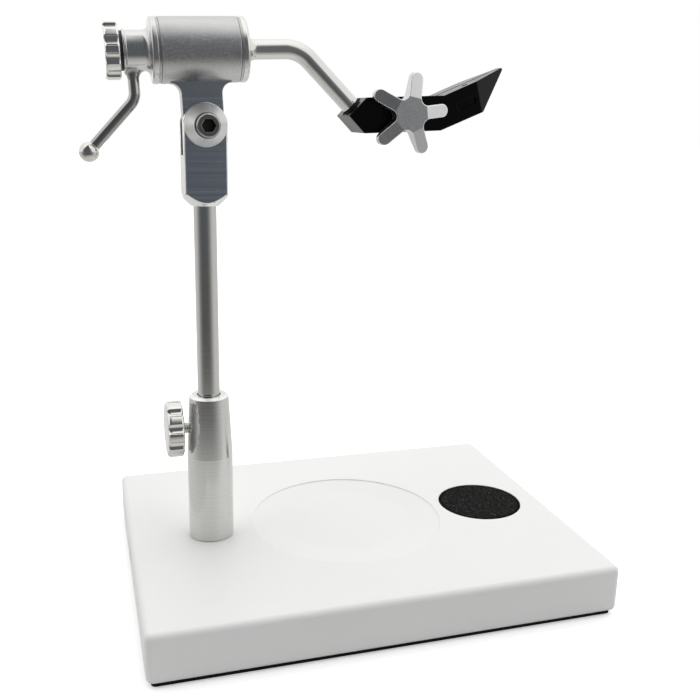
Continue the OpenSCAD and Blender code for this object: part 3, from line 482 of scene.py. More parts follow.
def turned_metal(name, colour, smooth, rough, point, axis, rings=5000.0, depth=0.05, contrast=0.06,
                 grain=0.0):
    """Turned bare metal: rings round an axis in colour, bump and roughness, a share of them given
    over to a grain, and a faint haze that changes its roughness from smooth to rough."""
    made, tree, shader = new_finish(name)
    marks = tree.nodes.new("ShaderNodeGroup")
    marks.node_tree = lathe_marks
    set_inputs(marks, Point=np.asarray(point) * mm, Axis=axis, Rings_per_metre=rings)
    ringed = maths(tree, "MULTIPLY", marks.outputs["Marks"], 1 - grain)[0]
    skin = maths(tree, "ADD", ringed, maths(tree, "MULTIPLY", marks.outputs["Grain"], grain)[0])[0]
    blend = maths(tree, "MULTIPLY", skin, marks.outputs["Haze"])[0]
    glossed(tree, shader, blend, smooth, rough, start=0.12, end=0.42)
    shadow = [(1 - contrast) * part for part in colour]
    tree.links.new(toned(tree, skin, shadow, colour), shader.inputs["Base Color"])
    bumped(tree, shader, skin, depth, distance=0.00004)
    set_inputs(shader, Metallic=1.0)
    return made


def spokes(axis, angle, steep=0.9):
    """Unit vectors square to an axis, at angles round it from a side chosen square to it."""
    side = np.cross(axis, [0, 1, 0] if abs(axis[1]) < steep else [1, 0, 0])
    side /= np.linalg.norm(side)
    return np.cos(angle)[:, None] * side + np.sin(angle)[:, None] * np.cross(axis, side)


def rings_about(profile, point, axis, cols=128):
    """Rings about any axis: each (distance along, radius) pair of the profile carried round it."""
    axis = np.asarray(axis, float) / np.linalg.norm(axis)
    spoke = spokes(axis, full_turn(cols))
    return np.asarray(point) + profile[:, :1, None] * axis + profile[:, 1:, None] * spoke


def turned_piece(name, profile, point, axis, material, cols=128):
    """A closed turned piece: its profile runs from axis to axis, or ends where it starts."""
    return show_grid(name, rings_about(profile, point, axis, cols), material)


def read(rows, key, width=1, kind=float):
    """One value, or one vector of the given width, of every row of a mesh's data."""
    values = np.zeros(len(rows) * width, kind)
    rows.foreach_get(key, values)
    return values.reshape(-1, width) if width > 1 else values


def finish_faces(piece, material, chosen):
    """Gives the chosen faces of a piece a finish of their own."""
    piece.data.materials.append(material)
    index = read(piece.data.polygons, "material_index", kind=np.int32)
    index[chosen] = len(piece.data.materials) - 1
    piece.data.polygons.foreach_set("material_index", index)


up_axis, post_at = (0, 0, 1), (post_x, 0, 0)
sleeve_metal = turned_metal("turned_sleeve", (0.80, 0.795, 0.78), 0.16, 0.24, post_at, up_axis,
                            rings=1600.0, depth=0.012, contrast=0.40)
chamfer_metal = turned_metal(
    "faced_chamfer", (0.86, 0.86, 0.85), 0.36, 0.46, post_at, up_axis, contrast=0.10)
foot_z, relief_z, bore_z = base_top + foot_gap, base_top + relief_h, base_top + bore_foot
lip_z, bush_z = sleeve_top - lip_t, sleeve_top - bush_sink - bush_l
foot_r, relief_r = sleeve_r - foot_wall, sleeve_r - foot_relief
sleeve_profile = eased_profile(
    [[bore_z, foot_r], [foot_z, foot_r], [foot_z, relief_r], [relief_z, relief_r],
     [relief_z, sleeve_r], [taper_z, sleeve_r], [sleeve_top - chamfer_h, sleeve_top_r],
     [sleeve_top, sleeve_top_r - chamfer_w], [sleeve_top, mouth_r], [lip_z, mouth_r],
     [lip_z, bush_r], [bush_z, bush_r], [bush_z, bore_r], [bore_z, bore_r], [bore_z, foot_r]],
    sleeve_rounds)
sleeve = turned_piece("post_sleeve_turned", sleeve_profile, post_at, up_axis, sleeve_metal)
lean = read(sleeve.data.polygons, "normal", 3)[:, 2]
height = read(sleeve.data.polygons, "center", 3)[:, 2]
finish_faces(sleeve, chamfer_metal, (height > (sleeve_top - chamfer_h) * mm)
             & (lean > chamfer_least) & (lean < chamfer_most))
stand_for(sleeve, "base", "turned_aluminium", "post_sleeve")

# Lock screw. A short threaded shank through the sleeve's side clamps the stem; its knob is turned
# from steel, fluted for the fingers and chromed.
lock_z, lock_in = 74.8, -76.86
knob_r, knob_t, knob_rounds = 12.25, 7.0, [1.0, 1.6]
flutes, flute_r, flute_depth, flute_soft = 10, 2.6, 1.2, 0.35
screw_r, screw_pitch, screw_depth, screw_tip, screw_in_knob = 2.5, 0.8, 0.45, 5.05, 3.0
run_out_l, run_out_drop = 0.6, 0.18


def fluted_outline(radius, cols):
    """Radius of a fluted knob round its angle: the smaller of its circle and the flutes' circles,
    with a smooth minimum that rounds the edges between them."""
    angle = full_turn(cols)
    offset = (angle + pi / flutes) % (2 * pi / flutes) - pi / flutes
    centre = radius - flute_depth + flute_r
    under = np.maximum(flute_r ** 2 - (centre * np.sin(offset)) ** 2, 0)
    flute = np.where(under > 0, centre * np.cos(offset) - np.sqrt(under), 2 * radius)
    share = np.clip(0.5 + 0.5 * (flute - radius) / flute_soft, 0, 1)
    return angle, flute * (1 - share) + radius * share - flute_soft * share * (1 - share)


def fluted_knob(name, radius, thick, rounds, point, axis, material, back_material, cols=480):
    """A knob: its profile's (distance along, inset) pairs carried round the fluted outline; each
    ring is shrunk by its inset, so the faces close at the centre. Its back has its own finish."""
    profile = eased_profile([[0, radius], [0, 0], [thick, 0], [thick, radius]], rounds)
    angle, outline = fluted_outline(radius, cols)
    axis = np.asarray(axis, float)
    share = np.clip(profile[:, 1:] / radius, 0, 1)
    ring = outline * (1 - share) + (radius - outline) * share * (1 - share)
    rings = np.asarray(point) + profile[:, :1, None] * axis + ring[..., None] * spokes(axis, angle)
    knob = show_grid(name, rings, material)
    finish_faces(knob, back_material, np.arange(len(knob.data.polygons)) < cols)
    return knob


def screw_piece(name, length, point, axis, material, cols=64, pitch_steps=12):
    """A screw from a point along an axis: its radius drops by a triangle wave of the distance along
    less the angle, and the ends run out to a cone that closes on the axis."""
    angle, axis = full_turn(cols), np.asarray(axis, float)
    along = np.linspace(0, length, int(length / screw_pitch * pitch_steps))[:, None]
    wave = np.abs(((along / screw_pitch - angle / (2 * pi)) % 1) * 2 - 1)
    run_out = np.clip(np.minimum(along, length - along) / (run_out_l * screw_pitch), 0, 1)
    rings = (screw_r - screw_depth * wave) * (1 - run_out_drop * (1 - run_out))
    rings = np.concatenate([np.zeros((1, cols)), rings, np.zeros((1, cols))])
    along = np.concatenate([along[:1], along, along[-1:]])
    grid = np.asarray(point) + along[..., None] * axis + rings[..., None] * spokes(axis, angle)
    return show_grid(name, grid, material)


lock_axis, lock_at = (-1, 0, 0), (lock_in, 0, lock_z)
chrome = turned_metal(
    "chromed_knob", (0.70, 0.685, 0.66), 0.05, 0.10, lock_at, lock_axis, depth=0.02)
knob_back = turned_metal("satin_back", (0.86, 0.86, 0.855), 0.50, 0.62, lock_at, lock_axis)
screw_steel = turned_metal(
    "screw_steel", (0.72, 0.71, 0.69), 0.08, 0.15, (post_x, 0, lock_z), lock_axis)
lock_knob = fluted_knob(
    "lock_knob_fluted", knob_r, knob_t, knob_rounds, lock_at, lock_axis, chrome, knob_back)
stand_for(lock_knob, "lock", "chromed", "lock_knob")
screw_l = -screw_tip - (lock_in - screw_in_knob - post_x)
lock_screw = screw_piece(
    "lock_screw_thread", screw_l, (post_x - screw_tip, 0, lock_z), lock_axis, screw_steel)
stand_for(lock_screw, "lock", "bright_steel", "lock_screw")

# Stem. A length of ground bright steel bar that slides and turns in the post, with its lower end
# chamfered.
stem_r, stem_foot, stem_top, stem_chamfer, stem_rounds = 4.75, 52.0, 186.3, 0.6, [0.15, 0.15, 0.15]

stem_steel = turned_metal(
    "ground_stem", (0.615, 0.605, 0.59), 0.13, 0.24, post_at, up_axis, rings=900.0)
stem_profile = eased_profile(
    [[stem_foot, 0], [stem_foot, stem_r - stem_chamfer], [stem_foot + stem_chamfer, stem_r],
     [stem_top, stem_r], [stem_top, 0]], stem_rounds)
stem = turned_piece("stem_bar", stem_profile, post_at, up_axis, stem_steel)
stand_for(stem, "stem", "bright_steel", "stem_rod")

# Fork. A square bar of aluminium, turned at its foot and corners, slotted for the tongue and
# rounded over its ears; its edges are broken with a fine file.
fork_bevel, square_on = 0.25, 0.99


def eased_solid(name, node, width, material, edge_material=None, sharp=28.0):
    """The skin of a CAD solid, its doubles merged and its flat faces joined, with a small rounded
    bevel along its outer sharp edges, which may have a worn finish of its own. An edge is outer
    where the normal of its second face leans away from the first face."""
    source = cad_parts[node].data
    corner = read(source.loops, "vertex_index", kind=int)
    unique, back = np.unique(
        np.round(read(source.vertices, "co", 3), 7), axis=0, return_inverse=True)
    faces = back.ravel()[corner].reshape(-1, 3)
    faces = faces[(faces != np.roll(faces, 1, 1)).all(1)]
    mesh = bpy.data.meshes.new(name)
    mesh.from_pydata(unique.tolist(), [], faces.tolist())
    work = bmesh.new()
    work.from_mesh(mesh)
    bmesh.ops.dissolve_limit(work, angle_limit=radians(0.8), verts=work.verts, edges=work.edges)
    work.to_mesh(mesh)
    work.free()
    total = read(mesh.polygons, "loop_total", kind=int)
    normal = read(mesh.polygons, "normal", 3)
    spots = read(mesh.vertices, "co", 3)
    edge = read(mesh.loops, "edge_index", kind=int)
    corner = read(mesh.loops, "vertex_index", kind=int)
    first = np.repeat(np.cumsum(total) - total, total)
    face = np.repeat(np.arange(len(total)), total)
    following = corner[first + (np.arange(len(corner)) - first + 1) % total[face]]
    run = spots[following] - spots[corner]
    pair = np.argsort(edge, kind="stable").reshape(-1, 2)
    here, there = normal[face[pair]].transpose(1, 0, 2)
    outer = (there * np.cross(here, run[pair[:, 0]])).sum(1) < 0
    keen = (here * there).sum(1) < cos(radians(sharp))
    weight = mesh.attributes.new("bevel_weight_edge", "FLOAT", "EDGE")
    weight.data.foreach_set("value", (outer & keen).astype(np.float32))
    piece = shaded(name, mesh, material, sharp)
    bevel = piece.modifiers.new("eased_edges", "BEVEL")
    bevel.width = width * mm
    bevel.segments = 3
    bevel.limit_method = "WEIGHT"
    bevel.use_clamp_overlap = False
    bevel.harden_normals = True
    if edge_material:
        mesh.materials.append(edge_material)
        bevel.material = 1
    return piece


fork_metal = turned_metal("milled_fork", (0.70, 0.745, 0.80), 0.18, 0.28, post_at, up_axis,
                          rings=450.0, depth=0.10, contrast=0.50)
fork_edge = turned_metal("filed_edge", (0.90, 0.90, 0.89), 0.16, 0.26, post_at, up_axis)
fork_turned = turned_metal(
    "turned_foot", (0.84, 0.835, 0.825), 0.20, 0.30, post_at, up_axis, rings=1600.0)
fork = eased_solid("fork_milled", "stem_head", fork_bevel, fork_turned, fork_edge)
facing = read(fork.data.polygons, "normal", 3)[:, 1]
finish_faces(fork, fork_metal, np.abs(facing) > square_on)
stand_for(fork, "stem", "turned_aluminium", "stem_head")

# Tilt pivot. A coned aluminium washer with a sunk seat, and a blackened socket screw that sits in
# it and clamps the tongue in the fork. The inside of the hexagon socket is painted black, a painted
# shade for the dark in the recess.
pivot_z, ear_y = 204.8, -7.5
cone_t, cone_r, cone_front_r, cone_rim, seat_r, seat_depth = 5.6, 8.6, 5.25, 1.2, 4.85, 2.6
washer_bore, washer_seam = 3.1, 1.5
washer_rounds = [0.1, 0.25, 0.5, 0.15, 0.08, 0.1, 0.1]
bolt_key, bolt_key_depth, bolt_front, bolt_bevel = 5.0, 3.0, -16.5, 0.2
socket_reach, socket_lip, socket_floor = 0.56 * bolt_key, 0.05, 0.1
black_low, black_high = (0.005, 0.005, 0.006), (0.014, 0.014, 0.015)

# Black plastic for the liner and washers; the same black is painted inside the screw's socket as
# painted shade.
black_plastic_and_socket_shade, tree, shader = new_finish("black_plastic_and_socket_shade")
mottle = texture(tree, Scale=1800.0, Detail=2.0)["Fac"]
glossed(tree, shader, mottle, smooth=0.35, rough=0.6)
tree.links.new(toned(tree, mottle, black_low, black_high), shader.inputs["Base Color"])

front_axis = (0, -1, 0)
pivot = np.array([post_x, ear_y, pivot_z])
washer_metal = turned_metal("turned_washer", (0.82, 0.82, 0.81), 0.38, 0.48, pivot, front_axis,
                            rings=2600.0, depth=0.08, contrast=0.30)
seat_z = cone_t - seat_depth
washer_profile = eased_profile(
    [[washer_seam, washer_bore], [0, washer_bore], [0, cone_r], [cone_rim, cone_r],
     [cone_t, cone_front_r], [cone_t, seat_r], [seat_z, seat_r], [seat_z, washer_bore],
     [washer_seam, washer_bore]], washer_rounds)
cone_washer = turned_piece("cone_washer", washer_profile, pivot, front_axis, washer_metal)
stand_for(cone_washer, "stem", "turned_aluminium", "pivot_washer")
black_screw = turned_metal("black_screw", (0.34, 0.325, 0.30), 0.16, 0.26, pivot, front_axis)
screw_edge = turned_metal("worn_screw_edge", (0.42, 0.42, 0.41), 0.14, 0.22, pivot, front_axis)
bolt = eased_solid("pivot_screw", "pivot_bolt", bolt_bevel, black_screw, screw_edge)
# The faces inside the hexagon socket take the black finish: a painted shade for the dark deep in
# the socket.
middles = read(bolt.data.polygons, "center", 3) / mm
from_axis = np.hypot(middles[:, 0] - post_x, middles[:, 2] - pivot_z)
socket_shade_faces = ((from_axis < socket_reach) & (middles[:, 1] > bolt_front + socket_lip)
             & (middles[:, 1] < bolt_front + bolt_key_depth + socket_floor))
finish_faces(bolt, black_plastic_and_socket_shade, socket_shade_faces)
stand_for(bolt, "stem", "black_oxide", "pivot_bolt")

# Rotary housing. An aluminium barrel bored for two bronze bushes, with a flat neck and tongue
# milled from the same piece; thin steel rings close its ends.
head_tilt = radians(2.8)
axis_h, housing_r, housing_bevel, neck_clear = 28.9, 12.7, 0.3, 1.0
axis_dir = np.array([cos(head_tilt), 0, sin(head_tilt)])
rise_dir = np.array([-sin(head_tilt), 0, cos(head_tilt)])
pivot_middle = np.array([post_x, 0, pivot_z])
axis_point = pivot_middle + axis_h * rise_dir

housing_metal = turned_metal("satin_housing", (0.59, 0.59, 0.59), 0.28, 0.42, axis_point, axis_dir,
                             rings=900.0, depth=0.14, contrast=0.26, grain=0.6)
neck_metal = turned_metal("milled_neck", (0.68, 0.72, 0.76), 0.18, 0.30, axis_point, rise_dir,
                          rings=500.0, depth=0.10, contrast=0.50, grain=0.08)
housing = eased_solid("housing_milled", "head_housing", housing_bevel, housing_metal)
facing = read(housing.data.polygons, "normal", 3)[:, 1]
side = read(housing.data.polygons, "center", 3)[:, 1]
finish_faces(housing, neck_metal, (np.abs(facing) > square_on)
             & (np.abs(side) < (housing_r - neck_clear) * mm))
stand_for(housing, "head", "turned_aluminium", "head_housing")

# Arm. A bright steel bar bent cold, with a flange brazed on and blended into it by a hollow fillet.
# Its straight end is the rotary shaft; its slanted end sits in the front jaw's heel. A black bead
# round it there is painted shade, standing for the dark gap where the arm enters the heel.
flange_in, flange_out, flange_bore, flange_rounds = 16.4, 19.0, 4.2, [0.2, 1.1]
arm_r, arm_fillet, shaft_end, seat_gap = 3.95, 4.2, -29.0, 0.1
bend_x, bend_r, arm_angle, arm_slant, arm_seat = 35.4, 14.0, radians(47), 26.0, 8.6
heel_shade_r, heel_shade_t, heel_shade_in, heel_shade_gap = 5.1, 1.0, 0.3, 0.01
arm_steps, bead_steps = 40, 10


def head_points(along, side, rise):
    """Points of the tilting head: so far along the rotary axis, to the side and above the pivot."""
    return (pivot_middle + np.asarray(along)[..., None] * axis_dir
            + np.asarray(side)[..., None] * np.array([0, 1, 0])
            + np.asarray(rise)[..., None] * rise_dir)


def bent_bar(name, route, heading, radius, material, cols=96):
    """A round bar along a bent route in the head's upright plane: each ring lies square to the
    route's heading, with its own radius; the ends close on the route."""
    angle = full_turn(cols)
    radius = np.asarray(radius)[:, None]
    across = radius * np.cos(angle)
    along = route[:, :1] - np.sin(heading)[:, None] * across
    rise = route[:, 1:] + np.cos(heading)[:, None] * across
    return show_grid(name, head_points(along, radius * np.sin(angle), rise), material)


def hollow_fillet(start, radius, fillet, steps=14):
    """Profile of a hollow quarter circle from a face down to a cylinder's radius."""
    angle = np.linspace(0, pi / 2, steps)
    along, out = fillet * (1 - np.cos(angle)), fillet * (1 - np.sin(angle))
    return np.stack([start + along, radius + out], 1)


arm_steel = turned_metal(
    "polished_arm", (0.67, 0.66, 0.645), 0.09, 0.18, axis_point, axis_dir, rings=500.0)
flange_profile = eased_profile(
    [[flange_in, flange_bore], [flange_in, housing_r], [flange_out, housing_r],
     [flange_out, arm_r + arm_fillet]], flange_rounds)
neck = np.concatenate([[[shaft_end, 0], [shaft_end, arm_r], [flange_in, arm_r]], flange_profile,
                       hollow_fillet(flange_out, arm_r, arm_fillet)])
turn_steps = np.linspace(0, arm_angle, arm_steps)
bend = np.stack([bend_x + bend_r * np.sin(turn_steps),
                 axis_h - bend_r * (1 - np.cos(turn_steps))], 1)
slant_dir = np.array([cos(arm_angle), -sin(arm_angle)])
slant_end = bend[-1] + (arm_slant + arm_seat - seat_gap) * slant_dir
route = np.concatenate([
    np.stack([neck[:, 0], np.full(len(neck), axis_h)], 1), bend, [slant_end, slant_end]])
heading = np.concatenate([np.zeros(len(neck)), -turn_steps, [-arm_angle, -arm_angle]])
radius = np.concatenate([neck[:, 1], np.full(len(bend) + 1, arm_r), [0]])
arm = bent_bar("arm_bent", route, heading, radius, arm_steel)
stand_for(arm, "rotor", "bright_steel", "arm_shaft")

# The black bead round the arm at the heel is a painted shade for the gap where the arm enters it.
bead = np.linspace(0, pi / 2, bead_steps)
heel_shade_inner = arm_r + heel_shade_gap
heel_shade_profile = np.concatenate([
    [[heel_shade_in, heel_shade_inner]],
    np.stack([-heel_shade_t * (1 - np.sin(bead)), heel_shade_r - (heel_shade_r - heel_shade_inner) * np.cos(bead)], 1),
    [[heel_shade_in, heel_shade_r], [heel_shade_in, heel_shade_inner]]])
heel_at = bend[-1] + arm_slant * slant_dir
heel_shade_ring = turned_piece("arm_heel_shade_bead", heel_shade_profile, head_points(heel_at[0], 0.0, heel_at[1]),
                    slant_dir[0] * axis_dir + slant_dir[1] * rise_dir, rubber_and_heel_shade)
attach(heel_shade_ring, "rotor")

# Rear hub. Turned from aluminium to match the arm's flange, with a hollow fillet behind it and a
# small collar at its end. It is pinned to the shaft, and the crank handle is fixed into its side.
hub_r, hub_end, hub_fillet, hub_play, hub_seam = 7.7, 29.4, 2.6, 0.1, 3.0
hub_lead, collar_foot, collar_full, collar_h = 3.0, 1.3, 0.7, 0.5
hub_front_rounds, hub_back_rounds = [0.1, 0.3, 1.1], [0.5, 0.2, 0.25, 0.1]
handle_x, handle_r, braze_r = 26.1, 2.25, 3.0
braze_sink, core_share, core_in, braze_cols, braze_steps = 0.05, 0.6, 2.0, 72, 12

hub_metal = turned_metal("turned_hub", (0.63, 0.63, 0.625), 0.18, 0.28, axis_point, axis_dir)
hub_bore = arm_r + hub_play
hub_profile = np.concatenate([
    eased_profile([[flange_in + hub_seam, hub_bore], [flange_in, hub_bore], [flange_in, housing_r],
                   [flange_out, housing_r], [flange_out, hub_r + hub_fillet]], hub_front_rounds),
    hollow_fillet(flange_out, hub_r, hub_fillet),
    eased_profile([[hub_end - hub_lead, hub_r], [hub_end - collar_foot, hub_r],
                   [hub_end - collar_full, hub_r + collar_h], [hub_end, hub_r + collar_h],
                   [hub_end, hub_bore], [flange_in + hub_seam, hub_bore]], hub_back_rounds)])
hub_rings = rings_about(hub_profile, axis_point, -axis_dir)
round_rod = full_turn(braze_cols)
ease = np.linspace(0, 1, braze_steps)[:, None] * pi / 2
braze_foot_r, end_drop = handle_r + braze_r, hub_r + braze_r
foot_drop = np.sqrt(hub_r ** 2 - (braze_foot_r * np.sin(round_rod)) ** 2) - braze_sink
core_r = core_share * handle_r
saddle_r = np.concatenate([[[core_r]], handle_r + braze_r * (1 - np.sin(ease)), [[core_r]]])
saddle_drop = np.concatenate([
    np.full((1, len(round_rod)), hub_r - core_in),
    foot_drop + (end_drop - foot_drop) * (1 - np.cos(ease)),
    np.full((1, len(round_rod)), end_drop)])
saddle_back = np.clip(saddle_r * np.cos(round_rod), handle_x - hub_end + braze_sink, None)
saddle = head_points(
    -handle_x + saddle_back, saddle_r * np.sin(round_rod), axis_h - saddle_drop)
points = np.concatenate([hub_rings.reshape(-1, 3), saddle.reshape(-1, 3)])
faces = (grid_faces(*hub_rings.shape[:2])
         + grid_faces(*saddle.shape[:2], hub_rings[..., 0].size, close_rows=True))
hub = show("rear_hub_turned", points, faces, hub_metal)
stand_for(hub, "rotor", "turned_aluminium", "rear_hub")

# Crank handle. A thin bright steel rod brazed into the hub and bent to clear the stem, with a
# turned steel ball driven on its end. The braze round its root is polished with it.
handle_drop, handle_bend_r, handle_angle, handle_l = 15.3, 7.0, radians(45), 24.8
rod_root, ball_r, ball_bite, handle_steps, ball_steps = 4.2, 4.0, 1.0, 24, 48

handle_steel = turned_metal(
    "polished_handle", (0.43, 0.42, 0.405), 0.06, 0.12, axis_point, rise_dir, rings=500.0)
hub_faces = len(hub.data.polygons)
finish_faces(hub, handle_steel, np.arange(hub_faces) >= hub_faces - saddle[..., 0].size)
turn_steps = np.linspace(0, handle_angle, handle_steps)
start = np.array([-handle_x, axis_h])
bend = start + np.stack([-handle_bend_r * (1 - np.cos(turn_steps)),
                         -handle_drop - handle_bend_r * np.sin(turn_steps)], 1)
rod_dir = np.array([-sin(handle_angle), -cos(handle_angle)])
rod_end, root = bend[-1] + (handle_l - ball_bite) * rod_dir, start - [0, rod_root]
route = np.concatenate([[root, root], bend, [rod_end, rod_end]])
heading = np.concatenate([[-pi / 2, -pi / 2], -pi / 2 - turn_steps, [-pi / 2 - handle_angle] * 2])
radius = np.concatenate([[0], np.full(len(bend) + 2, handle_r), [0]])
handle = bent_bar("handle_bent", route, heading, radius, handle_steel, cols=64)
stand_for(handle, "rotor", "bright_steel", "handle_rod")
ball_middle = bend[-1] + handle_l * rod_dir
ball_at = head_points(ball_middle[0], 0.0, ball_middle[1])
ball_axis = rod_dir[0] * axis_dir + rod_dir[1] * rise_dir
polar = np.linspace(0, pi, ball_steps)
ball_profile = np.stack([-ball_r * np.cos(polar), ball_r * np.sin(polar)], 1)
ball_steel = turned_metal(
    "polished_ball", (0.66, 0.645, 0.62), 0.05, 0.10, ball_at, ball_axis, depth=0.03)
ball = turned_piece("handle_ball_turned", ball_profile, ball_at, ball_axis, ball_steel, cols=96)
stand_for(ball, "rotor", "bright_steel", "handle_ball")

# Drag knob. A chromed, fluted knob like the lock knob, on a stud in the shaft's end. Screwed in, it
# presses its washer on the hub and stiffens the rotation.
drag_in, drag_t, drag_r, drag_rounds = 30.65, 5.8, 11.0, [0.7, 1.2]

drag_axis = -axis_dir
drag_at = axis_point - drag_in * axis_dir
drag_chrome = turned_metal(
    "chromed_drag", (0.75, 0.74, 0.72), 0.05, 0.10, drag_at, drag_axis, depth=0.02)
drag_knob = fluted_knob(
    "drag_knob_fluted", drag_r, drag_t, drag_rounds, drag_at, drag_axis, drag_chrome, knob_back)
stand_for(drag_knob, "drag", "chromed", "drag_knob")

# Jaws. Two hardened steel plates, ground and blackened: the front one carries the arm in its heel,
# and the rear one slides on dowels behind it.
jaw_bevel, jaw_sharp, worn_share = 0.28, 16.0, 0.36
oxide_low, oxide_high = (0.0002, 0.0002, 0.0002, 1), (0.0012, 0.0012, 0.0013, 1)
bare_steel, grinding = (0.36, 0.36, 0.37, 1), (150, 150, 5200)


def blackened_steel(name, steel_share):
    """Blackened steel: a cloud varies its black and its gloss, fine grinding lines mark it, and a
    speckle shows the bare steel on the given share of it."""
    made, tree, shader = new_finish(name)
    place = own_place(tree)
    stretched = maths(tree, "MULTIPLY", place, grinding, "ShaderNodeVectorMath")[0]
    cloud = texture(tree, place, Scale=160.0, Detail=6.0, Roughness=0.6)["Fac"]
    lines = texture(tree, stretched, Scale=1.0, Detail=3.0, Roughness=0.6)["Fac"]
    speckle = texture(tree, place, Scale=900.0, Detail=4.0, Roughness=0.7)["Fac"]
    glossed(tree, shader, cloud, smooth=0.12, rough=0.24, start=0.3, end=0.7)
    bare = fade(tree, speckle, start=1.0 - steel_share, end=1.1 - steel_share)
    black = mixed(tree, cloud, oxide_low, oxide_high)
    tree.links.new(mixed(tree, bare, black, bare_steel), shader.inputs["Base Color"])
    tree.links.new(bare, shader.inputs["Metallic"])
    bumped(tree, shader, lines, strength=0.05, distance=0.00003)
    set_inputs(shader, IOR=1.25)
    return made


jaw_black = blackened_steel("blackened_steel", 0.0)
jaw_worn = blackened_steel("blackened_steel_worn", worn_share)
front_jaw = eased_solid("front_jaw_ground", "front_jaw", jaw_bevel, jaw_black, jaw_worn, jaw_sharp)
stand_for(front_jaw, "rotor", "black_oxide", "front_jaw")
rear_jaw = eased_solid("rear_jaw_ground", "rear_jaw", jaw_bevel, jaw_black, jaw_worn, jaw_sharp)
stand_for(rear_jaw, "moving_jaw", "black_oxide", "rear_jaw")

# Star knob. A small aluminium casting with five fingers that fall away from a flat middle, tumbled
# to a satin finish; the draw screw is pressed into its back.
star_r, finger_w, finger_fillet, fingers = 17.5, 5.4, 3.0, 5
star_t, star_flat, star_front_fall, star_back_fall, star_round = 6.6, 6.9, 3.4, 0.3, 0.35
star_along, star_rise, star_back, star_turn = 84.48, 1.81, 10.35, radians(4.3)
crease_gap, crease_least, foot_shade_metallic = 0.05, 0.1, 0.35
beside_ring, next_ring, slope_rings, middle_rings, edge_rings = 0.985, 0.9, 9, 6, 8


def star_outline(inset, steps=16, side_steps=24):
    """Outline of the star moved inwards by inset: tip arcs and side lines draw in by it and the
    hollow fillets between the fingers grow by it about the same centres."""
    half, hollow = finger_w / 2 - inset, finger_fillet + inset
    half_step = pi / fingers
    centre = (finger_w / 2 + finger_fillet) / sin(half_step)
    web, tip = centre * cos(half_step), star_r - finger_w / 2
    bow = np.linspace(-pi / 2 - (pi / 2 - half_step), -pi / 2, steps)
    side = np.linspace(web, tip, side_steps)[1:-1]
    cap = np.linspace(0, pi / 2, steps)
    upper = np.concatenate([
        np.stack([tip + half * np.cos(cap), half * np.sin(cap)], 1),
        np.stack([side[::-1], np.full(len(side), half)], 1),
        np.stack([web + hollow * np.cos(bow[::-1]),
                  centre * sin(half_step) + hollow * np.sin(bow[::-1])], 1)])
    finger = np.concatenate([(upper * [1, -1])[::-1][1:-1], upper])
    turn = star_turn + full_turn(fingers)
    x = np.cos(turn)[:, None] * finger[:, 0] - np.sin(turn)[:, None] * finger[:, 1]
    y = np.sin(turn)[:, None] * finger[:, 0] + np.cos(turn)[:, None] * finger[:, 1]
    return np.stack([x.ravel(), y.ravel()], 1)


def along_finger(rows):
    """How far out each point lies along the finger that it is nearest to."""
    turn = star_turn + full_turn(fingers)
    return (rows @ np.stack([np.cos(turn), np.sin(turn)])).max(-1)


def fall_at(rows, fall):
    """How far the star's side lies below its flat middle, growing evenly along each finger."""
    beyond = along_finger(rows) - star_flat
    return fall * np.clip(beyond, 0, None) / (star_r - star_flat)


inner = star_outline(star_round)
reach = np.linalg.norm(inner, axis=1)
crease = np.minimum(star_flat * reach / along_finger(inner), reach - crease_least)
slope_share = np.concatenate([[beside_ring], np.linspace(next_ring, 0, slope_rings)])[:, None]
middle_share = np.concatenate([[1, beside_ring], np.linspace(next_ring, 0, middle_rings)])[:, None]
slope = crease + crease_gap + (reach - crease - crease_gap) * slope_share
flat_rows = np.concatenate([slope, crease * middle_share])[..., None] * (inner / reach[:, None])
round_steps = np.linspace(0, pi / 2, edge_rings)
edge_rows = np.stack([star_outline(star_round * (1 - cos(step))) for step in round_steps])
edge_drop = star_round * (1 - np.sin(round_steps))[:, None]
front = np.concatenate([edge_rows, flat_rows])
front_z = star_t - np.concatenate([
    fall_at(edge_rows, star_front_fall) + edge_drop, fall_at(flat_rows, star_front_fall)])
back_z = np.concatenate([
    fall_at(edge_rows, star_back_fall) + edge_drop, fall_at(flat_rows, star_back_fall)])
outline = np.concatenate([front[::-1], front])
height = np.concatenate([back_z[::-1], front_z])
star_grid = head_points(
    star_along + outline[..., 0], -star_back - height, star_rise + outline[..., 1])
star_at = head_points(star_along, -star_back, star_rise)
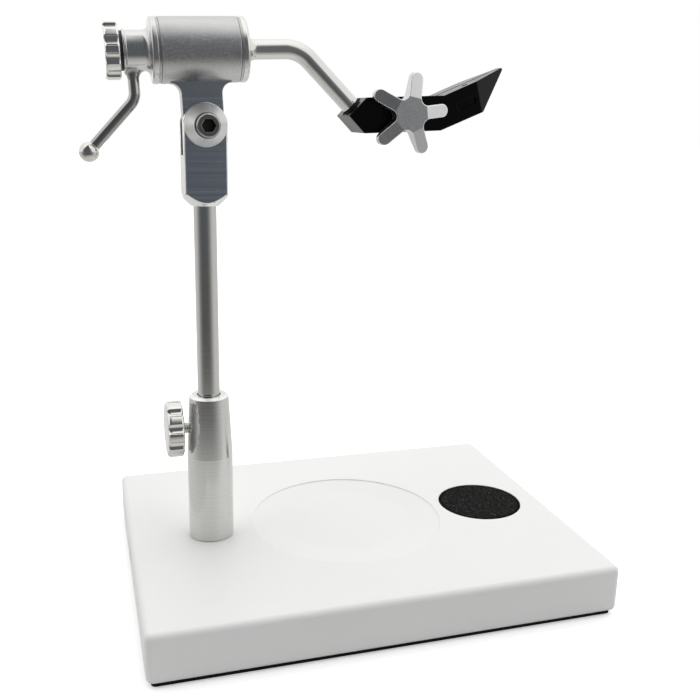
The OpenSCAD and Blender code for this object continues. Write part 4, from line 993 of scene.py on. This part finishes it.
star_metal = turned_metal("cast_star", (0.61, 0.61, 0.615), 0.26, 0.36, star_at, front_axis,
                          contrast=0.05, grain=0.5)
# The bright rim finish is a painted highlight along the rounded edge; the dark foot finish is a
# painted shade line beside it.
star_rim_highlight = turned_metal(
    "painted_rim_highlight", (0.80, 0.80, 0.795), 0.20, 0.30, star_at, front_axis, depth=0.03)
star_foot_shade = turned_metal(
    "painted_edge_foot_shade", (0.42, 0.42, 0.415), 0.52, 0.66, star_at, front_axis, grain=0.8)
set_inputs(star_foot_shade.node_tree.nodes["Principled BSDF"], Metallic=foot_shade_metallic)
star = show_grid("star_knob_cast", star_grid, star_metal)
# On the front, strip 0 is the foot of the rounded edge, beside the wall, painted dark as a painted
# shade line. The next strips are the rest of that edge and the face's first strip, painted bright
# as a painted highlight along the edge.
strip = np.arange(len(star.data.polygons)) // star_grid.shape[1] - len(front)
finish_faces(star, star_rim_highlight, (strip > 0) & (strip < edge_rings))
finish_faces(star, star_foot_shade, strip == 0)
stand_for(star, "star", "cast_aluminium", "star_knob")

# Inner pieces. Bushes, washers, screws, dowels and the liner are plain turned forms and hardly
# show, so they keep their solids and take a finish: bronze, bright or black steel, or plastic.
bush_metal = turned_metal("bush_bronze", (0.62, 0.45, 0.25), 0.25, 0.4, axis_point, axis_dir)
thrust_steel = turned_metal("thrust_steel", (0.46, 0.46, 0.46), 0.2, 0.3, axis_point, axis_dir)
inner_finish = {
    "stem_bush": black_plastic_and_socket_shade, "drag_washer": black_plastic_and_socket_shade, "star_washer": black_plastic_and_socket_shade,
    "front_thrust_washer": thrust_steel, "rear_thrust_washer": thrust_steel,
    "post_bolt": black_screw, "hub_grub_screw": black_screw, "heel_grub_screw": black_screw,
    "front_bush": bush_metal, "rear_bush": bush_metal, "drag_stud": screw_steel,
    "guide_dowels": screw_steel, "draw_screw": screw_steel, "screw_collar": screw_steel,
}
for name, material in inner_finish.items():
    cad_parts[name].data.materials.clear()
    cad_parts[name].data.materials.append(material)
